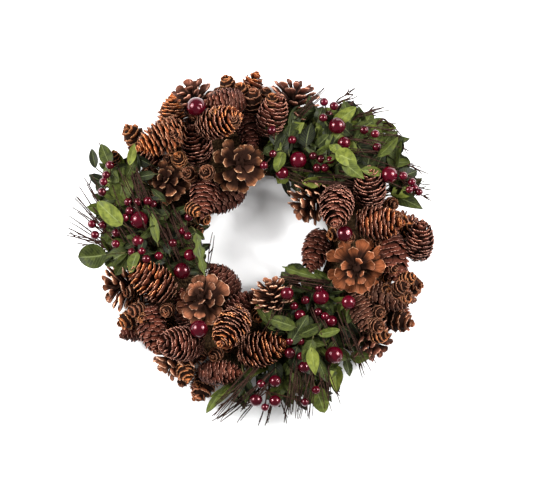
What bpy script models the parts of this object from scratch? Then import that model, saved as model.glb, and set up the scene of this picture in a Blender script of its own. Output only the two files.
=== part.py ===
"""A pinecone wreath, about 360 mm across, lying on its back.

A flat-backed straw ring carries everything. Closed spruce cones and open pine cones are seated on
it and on each other, small cones fill gaps on stalks of their own, and three clusters of leaf
sprays, berry picks and twigs lie between the cones. The frame is +Z up out of the wreath's front,
+Y to its top, and the origin under the middle of the whole wreath, on the table.
"""

import math
import random
from itertools import product

import bpy
import numpy as np
from mathutils import Matrix, Vector
from mathutils.bvhtree import BVHTree

MM = 0.001              # every size below is in millimetres
GAP = 0.3               # kept between the meshes of pieces that touch
SEED = 11

# The straw ring: its section is this far from the middle radius, at this height.
RING_MIDDLE = 98.0
RING_HEIGHT = 22.0
RING_SECTION = ((-22, 0), (22, 0), (33, 7), (32, 15), (20, 22), (-18, 22), (-30, 15), (-31, 7))
RING_STEPS = 26

# Stems, stalks and berries.
STEM_RADIUS = 1.5
STALK_RADIUS = 1.1
TWIG_RADIUS = 0.8
TABLE_CLEARANCE = 0.8   # what hangs over the ring's edge stays this far above the table
START_HEIGHT = 150.0    # pieces come down onto the pile from here
RUN_UP = 30.0           # pieces pushed against the ring come from so far off

# Each large cone: kind, x and y from the ring's middle, heading of its tip, tilt of its tip
# towards the viewer, length, width, and a height of its own if it is pushed against the ring from
# the side. Those laid first lie lowest.
CONES = (
    ("spruce", -106, 136, 108, 8, 46, 30, 19),
    ("spruce", -134, 104, 138, 6, 46, 30, 18),
    ("pine", -72, 148, 112, 28, 38, 44, 27),
    ("spruce", -14, 160, 68, 10, 48, 30, 19),
    ("pine", 32, 148, 80, 12, 42, 48, 26),
    ("pine", -150, -48, 190, 14, 42, 48, 26),
    ("spruce", -132, -92, 205, 6, 46, 30, 18),
    ("pine", -96, -128, 228, 16, 40, 44, 25),
    ("spruce", -64, -156, 238, 6, 46, 30, 18),
    ("pine", 116, -104, -42, 16, 40, 44, 25),
    ("spruce", 146, -74, -50, 8, 46, 30, 18),
    ("pine", 150, 14, 15, 20, 32, 32, 20),
    ("spruce", -33, 38, 215, 4, 46, 30, 24),
    ("spruce", -39, -38, 130, 4, 42, 29, 22),
    ("spruce", -8, -60, 190, 0, 36, 25, None),
    ("spruce", 52, -10, 255, 8, 46, 31, 22),
    ("pine", 43, 36, 215, 14, 40, 42, 34),
    ("pine", 10, -52, 100, 20, 32, 36, None),
    ("spruce", -90, 128, 90, 12, 40, 28, None),
    ("spruce", -38, 140, 185, 4, 44, 30, None),
    ("spruce", -13, 112, -80, 8, 40, 27, None),
    ("spruce", -41, -131, 0, 4, 44, 28, None),
    ("spruce", 130, -55, -8, 4, 50, 32, None),
    ("spruce", -26, -68, 60, 6, 42, 29, None),
    ("spruce", -78, -66, 100, 6, 40, 27, None),
    ("spruce", 100, -72, -60, 8, 42, 28, None),
    ("spruce", 132, -16, -78, 4, 54, 34, None),
    ("spruce", 108, 56, 95, 40, 50, 34, None),
    ("spruce", 117, 19, 0, 10, 50, 36, None),
    ("spruce", 146, 2, 85, 30, 46, 30, 46),
    ("spruce", -66, 98, 105, 42, 50, 32, None),
    ("spruce", 74, 34, 265, 44, 50, 36, None),
    ("spruce", -58, 46, 265, 22, 48, 31, None),
    ("spruce", -111, -38, 145, 12, 54, 38, None),
    ("spruce", -110, -88, 280, 12, 50, 31, None),
    ("spruce", 1, -107, 15, 16, 52, 38, None),
    ("spruce", -100, 103, 205, 4, 52, 36, None),
    ("spruce", -41, 119, 15, 24, 50, 34, None),
    ("spruce", 11, 128, 75, 30, 48, 32, None),
    ("spruce", -82, -101, 175, 34, 50, 36, None),
    ("spruce", -31, -86, 235, 40, 50, 36, None),
    ("pine", -96, 62, 120, 76, 34, 44, None),
    ("pine", -22, 78, 60, 74, 38, 58, None),
    ("pine", 94, -26, 270, 78, 36, 60, None),
    ("pine", -60, -56, 120, 70, 36, 54, None),
)
LOW_CONES = 25          # so many of them lie low and have fewer scales

# A closed cone's whorls of scales and the corners of each, by how much of the cone is seen.
LOW_SCALES, HIGH_SCALES, SMALL_SCALES = (4, 8), (5, 8), (3, 6)
# Where a whorl has its scales' roots, notches and lips, as shares of its own height.
SCALE_ROOT, SCALE_NOTCH, SCALE_LIP = 0.22, 0.71, 1.02
ROOT_GIRTH, NOTCH_GIRTH = 0.80, 0.88    # the width there, as shares of the cone's

# An open cone's core: its rings' shares of the length, and their radii as shares of the width.
CORE_LEVELS, CORE_GIRTHS = (0.06, 0.30, 0.54, 0.78), (0.17, 0.17, 0.15, 0.10)
CORE_SIDES = 10
# Its scales, whorl by whorl: how far they reach, by the width, and rise, by the length.
SCALE_REACHES, SCALE_RISES = (0.5, 0.44, 0.30), (0.22, 0.30, 0.30)
SCALE_HALF_WIDTH = 0.3  # as a share of the scale's reach
SCALE_BACK, SCALE_FRONT = -1.5, 1.3

# The small cones, which stand in the gaps on stalks of their own: x, y and width.
SMALL_CONES = (
    (-90, 90, 17), (-16, 146, 16), (-38, 160, 15), (-51, 74, 17), (-72, 74, 17), (-57, 24, 16),
    (131, 39, 16), (68, 2, 17), (139, -41, 16), (111, -77, 17), (-9, -77, 17),
    (-48, -114, 16), (-66, -134, 17), (-127, -64, 17), (-101, -64, 16), (-138, -77, 15),
)
SMALL_CONE_LENGTH = 22.0
SMALL_CONE_TILT = 72
SMALL_CONE_TUCK = 6.0   # each may move so far aside into the lowest gap
# Where their stalks may root in the ring: circles by their radius and height.
STALK_CIRCLES = ((80, 16), (90, 19), (100, 19), (110, 19), (120, 16), (127, 10))

# The clusters of greenery. Tracks are the stems that lie along the ring, from one bearing to the
# other. A hub is where one berry stem branches, with its berries: x, y and radius.
CLUSTERS = {
    "left": {
        "bearings": (150, 194),
        "berries": (
            ((-126, 28), ((-123, 22, 9), (-135, 40, 4.3), (-124, 40, 4.3), (-112, 38, 4.3),
                          (-124, 1, 6))),
            ((-152, 60), ((-152, 77, 4.3), (-157, 66, 4.3), (-160, 51, 4.3))),
            ((-156, 10), ((-170, 18, 4.3), (-167, 7, 4.3), (-146, 6, 4.3))),
            ((-121, -12), ((-131, -10, 4.3), (-115, -17, 4.3), (-103, -14, 4.3))),
            ((-78, 8), ((-73, 25, 4.3), (-78, 10, 4.3), (-72, -13, 6))),
        ),
        "leaves": (
            (-140, 57, 80, 30, 22), (-157, 87, 115, 24, 14), (-169, 84, 100, 18, 8),
            (-145, 84, 120, 22, 9), (-129, 87, 75, 20, 9), (-157, 30, 140, 30, 14),
            (-142, 14, 130, 28, 14), (-168, -15, 190, 25, 23), (-147, -15, 200, 26, 18),
            (-140, -23, 240, 22, 13), (-107, 14, 100, 28, 9), (-97, 37, 95, 20, 9),
            (-82, 31, 20, 22, 8), (-62, -12, -80, 40, 12), (-92, -23, -70, 24, 9),
            (-150, 45, 150, 28, 12),
        ),
        "twigs": (
            (-192, 14), (-193, 5), (-190, 26), (-186, 44), (-182, 55), (-177, 66), (-169, 68),
            (-183, -2),
        ),
    },
    "right": {
        "bearings": (26, 86),
        "berries": (
            ((58, 82), ((51, 86, 4.3), (61, 82, 4.3), (70, 81, 4.3), (59, 73, 4.3), (36, 82, 8.5))),
            ((66, 128), ((62, 140, 4.3), (72, 136, 4.3), (75, 116, 8.5))),
            ((16, 92), ((10, 111, 4.3), (30, 102, 4.3), (4, 78, 4.3), (20, 69, 6.5))),
            ((100, 102), ((102, 112, 4.3), (115, 94, 4.3), (82, 99, 6.5))),
            ((140, 62), ((127, 67, 8.5), (151, 59, 4.3), (156, 51, 4.3))),
        ),
        "leaves": (
            (23, 102, 170, 26, 14), (18, 80, 250, 20, 13), (31, 117, 130, 24, 15),
            (50, 115, 110, 26, 18), (56, 100, 175, 34, 16), (73, 92, 150, 18, 10),
            (84, 84, -20, 22, 14), (90, 71, -40, 26, 14), (54, 61, 5, 26, 11),
            (83, 126, 30, 26, 12), (103, 92, 70, 22, 12), (116, 82, 20, 32, 12),
            (126, 94, 40, 26, 9), (147, 42, -20, 32, 16),
            (24, 57, -75, 20, 8),
        ),
        "twigs": (
            (93, 152), (96, 144), (121, 134), (127, 130), (134, 118), (140, 105), (147, 92),
            (165, 68), (168, 49),
        ),
    },
    "bottom": {
        "bearings": (254, 314),
        "berries": (
            ((60, -62), ((59, -54, 8), (57, -70, 4.3), (70, -79, 6), (86, -60, 7))),
            ((32, -66), ((31, -64, 4.3), (39, -74, 5.5), (25, -51, 6.5))),
            ((34, -108), ((38, -99, 4.3), (27, -111, 5.5), (42, -125, 6))),
            ((5, -150), ((-1, -141, 4.3), (-6, -158, 6.5), (13, -159, 6), (13, -139, 6))),
            ((70, -120), ((72, -113, 9), (43, -160, 4.3), (54, -148, 4.3))),
        ),
        "leaves": (
            (40, -32, 165, 38, 13), (2, -73, 130, 24, 8), (12, -68, 110, 18, 10),
            (20, -80, 160, 26, 13), (36, -88, 60, 30, 14), (67, -90, 10, 20, 9),
            (58, -101, 30, 16, 9), (51, -118, 280, 26, 12), (75, -137, 280, 24, 13),
            (58, -158, 280, 24, 16), (86, -72, -50, 22, 12), (-17, -135, 205, 46, 11),
            (-40, -153, 225, 36, 12), (22, -130, 265, 30, 14), (16, -148, 240, 24, 15),
            (86, -96, -70, 30, 8), (28, -47, 172, 28, 8),
        ),
        "twigs": (
            (-50, -172), (-42, -176), (-25, -179), (3, -182), (8, -176), (23, -181), (70, -151),
            (99, -132),
        ),
    },
}
# The stems' distances from the ring's middle: two for leaves, one for berries, one for twigs.
LEAF_TRACKS = (84.0, 106.0)
BERRY_TRACK = 95.0
TWIG_TRACK = 116.0
HUB_HEIGHT = 42.0       # where berry stems branch, above the table
BERRY_HEIGHT = 52.0     # the least height of a berry in a cluster
SMALL_BERRY = 5.0       # a berry of this radius or less has fewer sides
# The sides and bands of berries: alone among the cones, large and small in the clusters.
LONE_ROUND, LARGE_ROUND, SMALL_ROUND = (8, 4), (6, 4), (5, 3)
STEM_SIDES = 3

# What a stem may do to pass its neighbours: how far its middle rises and sways.
BENDS = (
    (0, 0), (4, 0), (8, 0), (-4, 0), (0, 5), (0, -5), (6, 6), (6, -6), (12, 0), (14, 8), (14, -8),
    (20, 0), (20, 10), (20, -10), (4, 12), (4, -12),
)
HUB_LIFTS = (0.0, 6.0, 12.0, 20.0, -6.0)
BERRY_LIFTS = (0.0, 3.0, 6.0, 10.0)

# What a leaf may do: turn, shift aside, lie at another height, and pitch and roll.
LEAF_TURNS = (0, 14, -14, 28, -28)
LEAF_SHIFTS = (0, -4, 4, -8, 8)
LEAF_HEIGHTS = (40.0, 48.0, 56.0, 34.0, 44.0, 62.0, 30.0, 70.0)
LEAF_TILTS = ((12, 0), (25, 0), (0, 0), (12, 22), (12, -22), (32, 25), (32, -25))
LEAF_GROWTH = 1.2       # the leaves are fewer than the real ones, and so larger
LEAF_THICKNESS = 0.9
LEAF_STALK = 1.0        # half the stalk's width
LEAF_RIB = 1.4          # the rib's height at the stalk
LEAF_DROOP = 0.16       # how far the tip hangs, as a share of the length
# The blade's sections: share of its length, half width and the edges' lift by its width.
LEAF_SECTIONS = ((0.28, 0.40, 0.04), (0.56, 0.50, -0.14), (0.82, 0.30, 0.04))
TWIG_HEIGHTS = (30.0, 20.0, 40.0, 26.0, 48.0, 14.0)
TWIG_TIP = 0.6

# Large berries that sit alone among the cones: x, y and radius.
LONE_BERRIES = ((-65, 134, 9.5), (-80, -29, 8.5), (-62, -86, 9), (82, 8, 8))
LONE_STEM = 16.0


class Solid:
    """A closed triangle mesh in millimetres."""

    def __init__(self, points, faces):
        self.points = np.asarray(points, dtype=float)
        self.faces = [
            (face[0], face[i], face[i + 1]) for face in faces for i in range(1, len(face) - 1)
        ]

    def moved(self, offset):
        return Solid(self.points + np.asarray(offset), self.faces)

    def placed(self, matrix):
        turn = np.array(matrix.to_3x3())
        return Solid(self.points @ turn.T + np.array(matrix.translation), self.faces)

    def grown(self, amount):
        """A copy that is larger by about the amount all over."""
        corners = self.points[np.array(self.faces)]
        normals = np.cross(corners[:, 1] - corners[:, 0], corners[:, 2] - corners[:, 0])
        out = np.zeros_like(self.points)
        for corner in range(3):
            np.add.at(out, np.array(self.faces)[:, corner], normals)
        out /= np.linalg.norm(out, axis=1, keepdims=True) + 1e-9
        return Solid(self.points + out * amount, self.faces)

    def tree(self):
        return BVHTree.FromPolygons(self.points.tolist(), self.faces, all_triangles=True)


class Pile:
    """All the solids placed so far, with the tests of what touches what."""

    def __init__(self):
        self.entries = []

    def add(self, node, solid):
        low, high = solid.points.min(axis=0), solid.points.max(axis=0)
        self.entries.append((node, low, high, solid.tree()))

    def meets(self, solid, skip=""):
        """Whether the solid crosses, or lies inside, anything but the node named skip."""
        low, high = solid.points.min(axis=0), solid.points.max(axis=0)
        tree = None
        for node, other_low, other_high, other in self.entries:
            if node == skip or (other_low > high).any() or (other_high < low).any():
                continue
            tree = tree or solid.tree()
            if tree.overlap(other):
                return True
            if (low > other_low).all() and (high < other_high).all():
                place, normal, _, _ = other.find_nearest(solid.points[0])
                if (Vector(solid.points[0]) - place).dot(normal) < 0:
                    return True
        return False

    def settle(self, solid, direction, reach, skip=""):
        """The solid, moved along the direction until it would meet something."""
        grown = solid.grown(GAP)
        direction = np.asarray(direction, dtype=float)
        clear, step = 0.0, 2.0
        if self.meets(grown, skip):
            raise ValueError(f"no free start at {solid.points.mean(axis=0).round()}")
        while clear < reach and not self.meets(grown.moved(direction * (clear + step)), skip):
            clear += step
        while step > 0.1:
            step /= 2
            if clear + step <= reach and not self.meets(grown.moved(direction * (clear + step)), skip):
                clear += step
        return solid.moved(direction * min(clear, reach))


def loft(loops, start, end):
    """Joins closed loops of equal size, from a start point to an end point."""
    size = len(loops[0])
    points = [point for loop in loops for point in loop] + [start, end]
    first, last = len(points) - 2, len(points) - 1
    faces = []
    for row in range(len(loops) - 1):
        for i in range(size):
            j = (i + 1) % size
            faces.append((row * size + i, row * size + j, (row + 1) * size + j, (row + 1) * size + i))
    tail = (len(loops) - 1) * size
    for i in range(size):
        j = (i + 1) % size
        faces.append((first, j, i))
        faces.append((last, tail + i, tail + j))
    return Solid(points, faces)


def tube(path, radius, end_radius=None):
    """A round stem along a path, closed by a short point at each end."""
    path = [Vector(point) for point in path]
    end_radius = radius if end_radius is None else end_radius
    loops = []
    for i, point in enumerate(path):
        along = (path[min(i + 1, len(path) - 1)] - path[max(i - 1, 0)]).normalized()
        side = along.orthogonal() if abs(along.z) > 0.9 else along.cross(Vector((0, 0, 1)))
        side.normalize()
        up = side.cross(along)
        width = radius + (end_radius - radius) * i / (len(path) - 1)
        turns = [2 * math.pi * (k + 0.5) / STEM_SIDES for k in range(STEM_SIDES)]
        loops.append([point + (side * math.cos(t) + up * math.sin(t)) * width for t in turns])
    start = path[0] - (path[1] - path[0]).normalized() * radius * 0.5
    end = path[-1] + (path[-1] - path[-2]).normalized() * end_radius * 0.5
    solid = loft(loops, start, end)
    if volume(solid) < 0:
        solid.faces = [face[::-1] for face in solid.faces]
    return solid


def volume(solid):
    corners = solid.points[np.array(solid.faces)]
    return float(np.einsum("ij,ij->i", corners[:, 0], np.cross(corners[:, 1], corners[:, 2])).sum())


def ball(centre, radius, sides, bands):
    """A berry: a round of sides and bands with a pole at each end."""
    loops = []
    for band in range(1, bands):
        slope = math.pi * band / bands - math.pi / 2
        turn = math.pi * (band % 2) / sides
        loops.append([
            (math.cos(slope) * math.cos(2 * math.pi * i / sides + turn),
             math.cos(slope) * math.sin(2 * math.pi * i / sides + turn),
             math.sin(slope))
            for i in range(sides)
        ])
    unit = loft(loops, (0, 0, -1), (0, 0, 1))
    return Solid(unit.points * radius + np.array(centre), unit.faces)


def closed_cone(length, width, whorls, sides, turn):
    """A closed cone from its stalk at 0 to its tip: whorls of scales lapped towards the tip.

    Every second corner of a whorl's lip is the middle of a scale, and the corners between are the
    notches. The next whorl is half a scale round.
    """

    def girth(along):
        """Half the cone's width at a share of its length, slim at the tip and round at the stalk."""
        along = min(max(along, 0.0), 1.0)
        return width / 2 * math.sin(math.pi * (0.10 + 0.86 * along ** 0.86)) ** 0.62

    loops = []
    for whorl in range(whorls):
        root, notch, lip = ((whorl + part) / whorls for part in (SCALE_ROOT, SCALE_NOTCH, SCALE_LIP))
        inner = (root, girth(root) * ROOT_GIRTH)
        outer = ((lip, girth(lip)), (notch, girth(notch) * NOTCH_GIRTH))
        for corners in ((inner, inner), outer):
            loop = []
            for i in range(sides):
                angle = 2 * math.pi * i / sides + turn
                along, radius = corners[(i + whorl) % 2]
                loop.append((radius * math.cos(angle), radius * math.sin(angle), along * length))
            loops.append(loop)
    return loft(loops, (0, 0, 0), (0, 0, length * 1.02))


def open_cone(length, width, turn):
    """An open pine cone from its stalk at 0 to its tip: a core with three whorls of wide scales.

    Every second side of the core's belt carries a scale, drawn out from that side's own corners.
    """
    pitch = 2 * math.pi / CORE_SIDES
    points, faces = [], []
    for level, girth in zip(CORE_LEVELS, CORE_GIRTHS):
        for i in range(CORE_SIDES):
            angle = pitch * (i - 0.5) + turn
            radius = width * girth
            points.append((radius * math.cos(angle), radius * math.sin(angle), length * level))
    for whorl, (reach, rise) in enumerate(zip(SCALE_REACHES, SCALE_RISES)):
        low, high = whorl * CORE_SIDES, (whorl + 1) * CORE_SIDES
        for i in range(CORE_SIDES):
            j = (i + 1) % CORE_SIDES
            root = (low + i, low + j, high + j, high + i)
            if (i + whorl) % 2:
                faces.append(root)
                continue
            angle = pitch * i + turn
            out = Vector((math.cos(angle), math.sin(angle), 0)) * width * reach
            side = Vector((-math.sin(angle), math.cos(angle), 0)) * width * reach * SCALE_HALF_WIDTH
            base = Vector((0, 0, length * (CORE_LEVELS[whorl] + 0.12)))
            up = Vector((0, 0, length * rise))
            middle = base + out * 0.62 + up * 0.45
            back, front = Vector((0, 0, SCALE_BACK)), Vector((0, 0, SCALE_FRONT))
            first = len(points)
            points += [middle - side + back, middle + side + back, middle + side + front]
            points += [middle - side + front, base + out + up - side, base + out + up + side]
            left, right = first + 4, first + 5
            for k in range(4):
                m = (k + 1) % 4
                faces.append((root[k], root[m], first + m, first + k))
            faces.append((first, first + 1, right, left))
            faces.append((first + 1, first + 2, right))
            faces.append((first + 2, first + 3, left, right))
            faces.append((first + 3, first, left))
    foot, tip = len(points), len(points) + 1
    points += [(0, 0, 0), (0, 0, length)]
    top = (len(CORE_LEVELS) - 1) * CORE_SIDES
    for i in range(CORE_SIDES):
        j = (i + 1) % CORE_SIDES
        faces.append((foot, j, i))
        faces.append((tip, top + i, top + j))
    return Solid(points, faces)


def leaf(stem, base, heading, pitch, roll, length, width):
    """A leaf with its stalk: from a point in a stem to the blade's base, and on to its tip.

    The blade has a rib along its top, waved edges and a drooping tip.
    """
    level = Vector((math.cos(heading), math.sin(heading), 0))
    along = level * math.cos(pitch) + Vector((0, 0, math.sin(pitch)))
    side = Vector((-math.sin(heading), math.cos(heading), 0))
    up = along.cross(side)
    cosine, sine = math.cos(roll), math.sin(roll)
    side, up = side * cosine + up * sine, up * cosine - side * sine
    stem, base = Vector(stem), Vector(base)
    lead = (base - stem).normalized()
    stalk_side = (side - lead * side.dot(lead)).normalized()
    stalk_up = lead.cross(stalk_side)
    rows = [
        (stem, stalk_side, stalk_up, LEAF_STALK, LEAF_RIB, 0),
        (base, side, (up + stalk_up).normalized(), LEAF_STALK, LEAF_RIB, 0),
    ]
    for share, girth, wave in LEAF_SECTIONS:
        place = base + along * length * share - up * length * LEAF_DROOP * share ** 2
        rows.append((place, side, up, width * girth, LEAF_THICKNESS, width * wave))
    loops = []
    for place, across, above, half, thick, lift in rows:
        edge = above * lift
        loops.append([
            place - across * half + edge, place + across * half + edge * 0.4, place + above * thick,
        ])
    tip = base + along * length - up * length * LEAF_DROOP
    solid = loft(loops, stem - lead * 0.3, tip)
    if volume(solid) < 0:
        solid.faces = [face[::-1] for face in solid.faces]
    return solid


def straw_ring():
    """The ring, round its flat-backed section."""
    points, faces = [], []
    size = len(RING_SECTION)
    for step in range(RING_STEPS):
        angle = 2 * math.pi * step / RING_STEPS
        for out, height in RING_SECTION:
            radius = RING_MIDDLE + out
            points.append((radius * math.cos(angle), radius * math.sin(angle), height))
    for step in range(RING_STEPS):
        ahead = (step + 1) % RING_STEPS
        for i in range(size):
            j = (i + 1) % size
            faces.append((step * size + i, ahead * size + i, ahead * size + j, step * size + j))
    solid = Solid(points, faces)
    if volume(solid) < 0:
        solid.faces = [face[::-1] for face in solid.faces]
    return solid


def lie(solid, x, y, heading, tilt, length, height):
    """A cone turned so that its tip points along the heading, its middle at x, y and the height."""
    heading, tilt = math.radians(heading), math.radians(tilt)
    along = Vector((
        math.cos(heading) * math.cos(tilt), math.sin(heading) * math.cos(tilt), math.sin(tilt)
    ))
    turn = along.to_track_quat("Z", "Y").to_matrix().to_4x4()
    return solid.placed(Matrix.Translation(Vector((x, y, height)) - along * length / 2) @ turn)


def seat(pile, solid, lowest=TABLE_CLEARANCE):
    """Brings a solid down onto the pile, or to a lowest height above the table."""
    drop = float(solid.points[:, 2].min()) - lowest
    return pile.settle(solid, (0, 0, -1), drop)


def lay_cones(pile, chance):
    """Seats the large cones one after another. Returns their solids by node name."""
    cones, counts = {}, {"spruce": 0, "pine": 0}
    for number, (kind, x, y, heading, tilt, length, width, side_height) in enumerate(CONES):
        counts[kind] += 1
        name = f"{kind}_cone_{counts[kind]:02d}"
        turn = chance.uniform(0, math.pi)
        if kind == "spruce":
            scales = LOW_SCALES if number < LOW_CONES else HIGH_SCALES
            cone = closed_cone(length, width, *scales, turn)
        else:
            cone = open_cone(length, width, turn)
        if side_height is None:
            solid = seat(pile, lie(cone, x, y, heading, tilt, length, START_HEIGHT))
        else:
            place = Vector((x, y, 0))
            outwards = place.normalized()
            push = -outwards if place.length > RING_MIDDLE else outwards
            start = place - push * RUN_UP
            solid = lie(cone, start.x, start.y, heading, tilt, length, side_height)
            solid = solid.moved((0, 0, max(0.0, TABLE_CLEARANCE - solid.points[:, 2].min())))
            solid = pile.settle(solid, push, RUN_UP * 2)
        pile.add(name, solid)
        cones[name] = [solid]
    return cones


def arc(radius, bearings, height, steps=6):
    """Points along the ring between two bearings."""
    first, last = (math.radians(bearing) for bearing in bearings)
    turns = [first + (last - first) * i / steps for i in range(steps + 1)]
    return [Vector((radius * math.cos(t), radius * math.sin(t), height)) for t in turns]


def lay_tracks(pile):
    """The stems that lie along the ring under each cluster, laid before the cones."""
    tracks = {}
    height = RING_HEIGHT + GAP + STEM_RADIUS
    for cluster, layout in CLUSTERS.items():
        for kind, radii in (
            ("leaf", LEAF_TRACKS), ("berry", (BERRY_TRACK,)), ("twig", (TWIG_TRACK,))
        ):
            paths = [arc(radius, layout["bearings"], height) for radius in radii]
            stems = [tube(path, STEM_RADIUS) for path in paths]
            for stem in stems:
                pile.add(f"{kind}_{cluster}", stem)
            tracks[f"{kind}_{cluster}"] = (paths, stems)
    for cluster in CLUSTERS:
        name = f"leaf_{cluster}"
        (inner, outer), stems = tracks[name]
        fork = grow(pile, name, inner[2:4], outer[1], STALK_RADIUS, STALK_RADIUS)
        pile.add(name, fork)
        stems.append(fork)
    return tracks


def roots_along(paths):
    """Places along the middles of stems, close enough together to choose a root from."""
    return [
        a.lerp(b, third / 3) for path in paths for a, b in zip(path, path[1:]) for third in range(3)
    ]


def bent(start, end, lift, sway):
    """A stem's path that rises and sways between its ends."""
    if lift == 0 and sway == 0:
        return [start, end]
    across = (end - start).cross(Vector((0, 0, 1)))
    across = across.normalized() if across.length > 1 else Vector((1, 0, 0))
    middle = start.lerp(end, 0.5) + Vector((0, 0, lift)) + across * sway
    return [start, middle, end]


def grow(pile, node, roots, end, radius, tip_radius, nearest=8):
    """A stem from one of the roots to the end, bent clear of every other node, or None."""
    roots = sorted(roots, key=lambda root: (root - end).length)[:nearest]
    for lift, sway in BENDS:
        for root in roots:
            stem = tube(bent(root, end, lift, sway), radius, tip_radius)
            if not pile.meets(stem.grown(GAP), node):
                return stem
    return None


def grow_trunk(pile, node, paths, x, y):
    """The stem that goes up from the ring to a hub, with the hub."""
    for lift in HUB_LIFTS:
        hub = Vector((x, y, HUB_HEIGHT + lift))
        trunk = grow(pile, node, roots_along(paths), hub, STALK_RADIUS, STALK_RADIUS, 12)
        if trunk:
            return trunk, hub
    raise ValueError(f"no way up to the hub at {x}, {y}")


def grow_berry(pile, node, hub, x, y, radius):
    """One berry, low among the cones, and its stem from the hub."""
    shape = LARGE_ROUND if radius > SMALL_BERRY else SMALL_ROUND
    berry = ball((x, y, START_HEIGHT), radius, *shape)
    berry = pile.settle(berry, (0, 0, -1), START_HEIGHT - BERRY_HEIGHT, node)
    for lift in BERRY_LIFTS:
        lifted = berry.moved((0, 0, lift))
        middle = Vector((x, y, float(lifted.points[:, 2].mean())))
        stem = grow(pile, node, [hub], middle, STALK_RADIUS, STALK_RADIUS)
        if stem and not pile.meets(lifted.grown(GAP), node):
            return stem, lifted
    raise ValueError(f"no way to the berry at {x}, {y}")


def grow_leaf(pile, node, blades, paths, row, heights):
    """One leaf near its place, bent clear of all that is there already."""
    x, y, bearing, length, width = row
    length, width = length * LEAF_GROWTH, width * LEAF_GROWTH
    roots = roots_along(paths)
    places = product(LEAF_TURNS, LEAF_SHIFTS, heights, LEAF_TILTS)
    for turn, shift, height, tilts in places:
        heading = math.radians(bearing + turn)
        pitch, roll = (math.radians(tilt) for tilt in tilts)
        level = Vector((math.cos(heading), math.sin(heading), 0))
        along = level * math.cos(pitch) + Vector((0, 0, math.sin(pitch)))
        base = Vector((x - level.y * shift, y + level.x * shift, height)) - along * length / 2
        behind = [root for root in roots if (base - root).normalized().dot(level) > 0.1]
        for root in sorted(behind, key=lambda root: (base - root).length)[:8:2]:
            blade = leaf(root, base, heading, pitch, roll, length, width)
            if not pile.meets(blade.grown(GAP), node) and not blades.meets(blade):
                return blade
    raise ValueError(f"no room for the leaf at {x}, {y}")


def grow_twig(pile, node, paths, x, y, heights):
    """One thin twig, out past the cones."""
    for height in heights:
        end = Vector((x, y, height))
        twig = grow(pile, node, roots_along(paths), end, TWIG_RADIUS, TWIG_TIP, 12)
        if twig:
            return twig
    raise ValueError(f"no way out for the twig to {x}, {y}")


def in_turn(heights, number):
    """The heights to try, from another one for each leaf or twig of a cluster."""
    first = number % len(heights)
    return heights[first:] + heights[:first]


def grow_clusters(pile, tracks):
    """All that grows on the stems: berries first, then leaves between them, then twigs."""
    nodes = {name: list(stems) for name, (_, stems) in tracks.items()}

    def keep(name, *solids):
        for solid in solids:
            pile.add(name, solid)
            nodes[name].append(solid)

    for cluster, layout in CLUSTERS.items():
        name = f"berry_{cluster}"
        for (hub_x, hub_y), berries in layout["berries"]:
            trunk, hub = grow_trunk(pile, name, tracks[name][0], hub_x, hub_y)
            keep(name, trunk)
            for x, y, radius in berries:
                keep(name, *grow_berry(pile, name, hub, x, y, radius))
    for cluster, layout in CLUSTERS.items():
        name = f"leaf_{cluster}"
        blades = Pile()
        for number, row in enumerate(layout["leaves"]):
            heights = in_turn(LEAF_HEIGHTS, number)
            blade = grow_leaf(pile, name, blades, tracks[name][0], row, heights)
            blades.add(name, blade)
            keep(name, blade)
    for cluster, layout in CLUSTERS.items():
        name = f"twig_{cluster}"
        for number, (x, y) in enumerate(layout["twigs"]):
            keep(name, grow_twig(pile, name, tracks[name][0], x, y, in_turn(TWIG_HEIGHTS, number)))
    return nodes


def stand_small_cones(pile, ring):
    """The ring with small cones in the gaps above it, each on a stalk that is rooted in it."""
    solids = [ring]
    feet = [
        Vector((radius * math.cos(math.radians(turn)), radius * math.sin(math.radians(turn)), height))
        for radius, height in STALK_CIRCLES
        for turn in range(0, 360, 5)
    ]
    tucks = (0, -SMALL_CONE_TUCK, SMALL_CONE_TUCK)
    for x, y, width in SMALL_CONES:
        outwards = math.degrees(math.atan2(y, x))
        cone = closed_cone(SMALL_CONE_LENGTH, width, *SMALL_SCALES, 0)
        cone = lie(cone, x, y, outwards, SMALL_CONE_TILT, SMALL_CONE_LENGTH, START_HEIGHT)
        tucked = [seat(pile, cone.moved((*tuck, 0)), RING_HEIGHT) for tuck in product(tucks, tucks)]
        cone = min(tucked, key=lambda solid: solid.points[:, 2].max())
        low_end, middle = Vector(cone.points[-2]), Vector(cone.points.mean(axis=0))
        stalk = grow(
            pile, "base_ring", feet, low_end.lerp(middle, 0.35), STALK_RADIUS, STALK_RADIUS, 40
        )
        if stalk is None:
            raise ValueError(f"no way down for the stalk at {x}, {y}")
        for solid in (stalk, cone):
            pile.add("base_ring", solid)
            solids.append(solid)
    return solids


def set_lone_berries(pile):
    """Large berries among the cones, each on a stem of its own that goes down between them."""
    nodes = {}
    for number, (x, y, radius) in enumerate(LONE_BERRIES, 1):
        name = f"lone_berry_{number}"
        middle = Vector((x, y, START_HEIGHT))
        berry = ball(middle, radius, *LONE_ROUND)
        stem = tube([middle, middle - Vector((0, 0, radius + LONE_STEM))], STALK_RADIUS)
        both = Solid(
            np.vstack([berry.points, stem.points]),
            berry.faces + [tuple(i + len(berry.points) for i in face) for face in stem.faces],
        )
        drop = seat(pile, both).points[0] - both.points[0]
        nodes[name] = [berry.moved(drop), stem.moved(drop)]
        for solid in nodes[name]:
            pile.add(name, solid)
    return nodes


def finish(name, colour, roughness):
    """A plain material in the piece's own colour."""
    material = bpy.data.materials.get(name) or bpy.data.materials.new(name)
    material.use_nodes = True
    shader = material.node_tree.nodes["Principled BSDF"]
    shader.inputs["Base Color"].default_value = (*colour, 1)
    shader.inputs["Roughness"].default_value = roughness
    shader.inputs["Metallic"].default_value = 0
    return material


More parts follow.
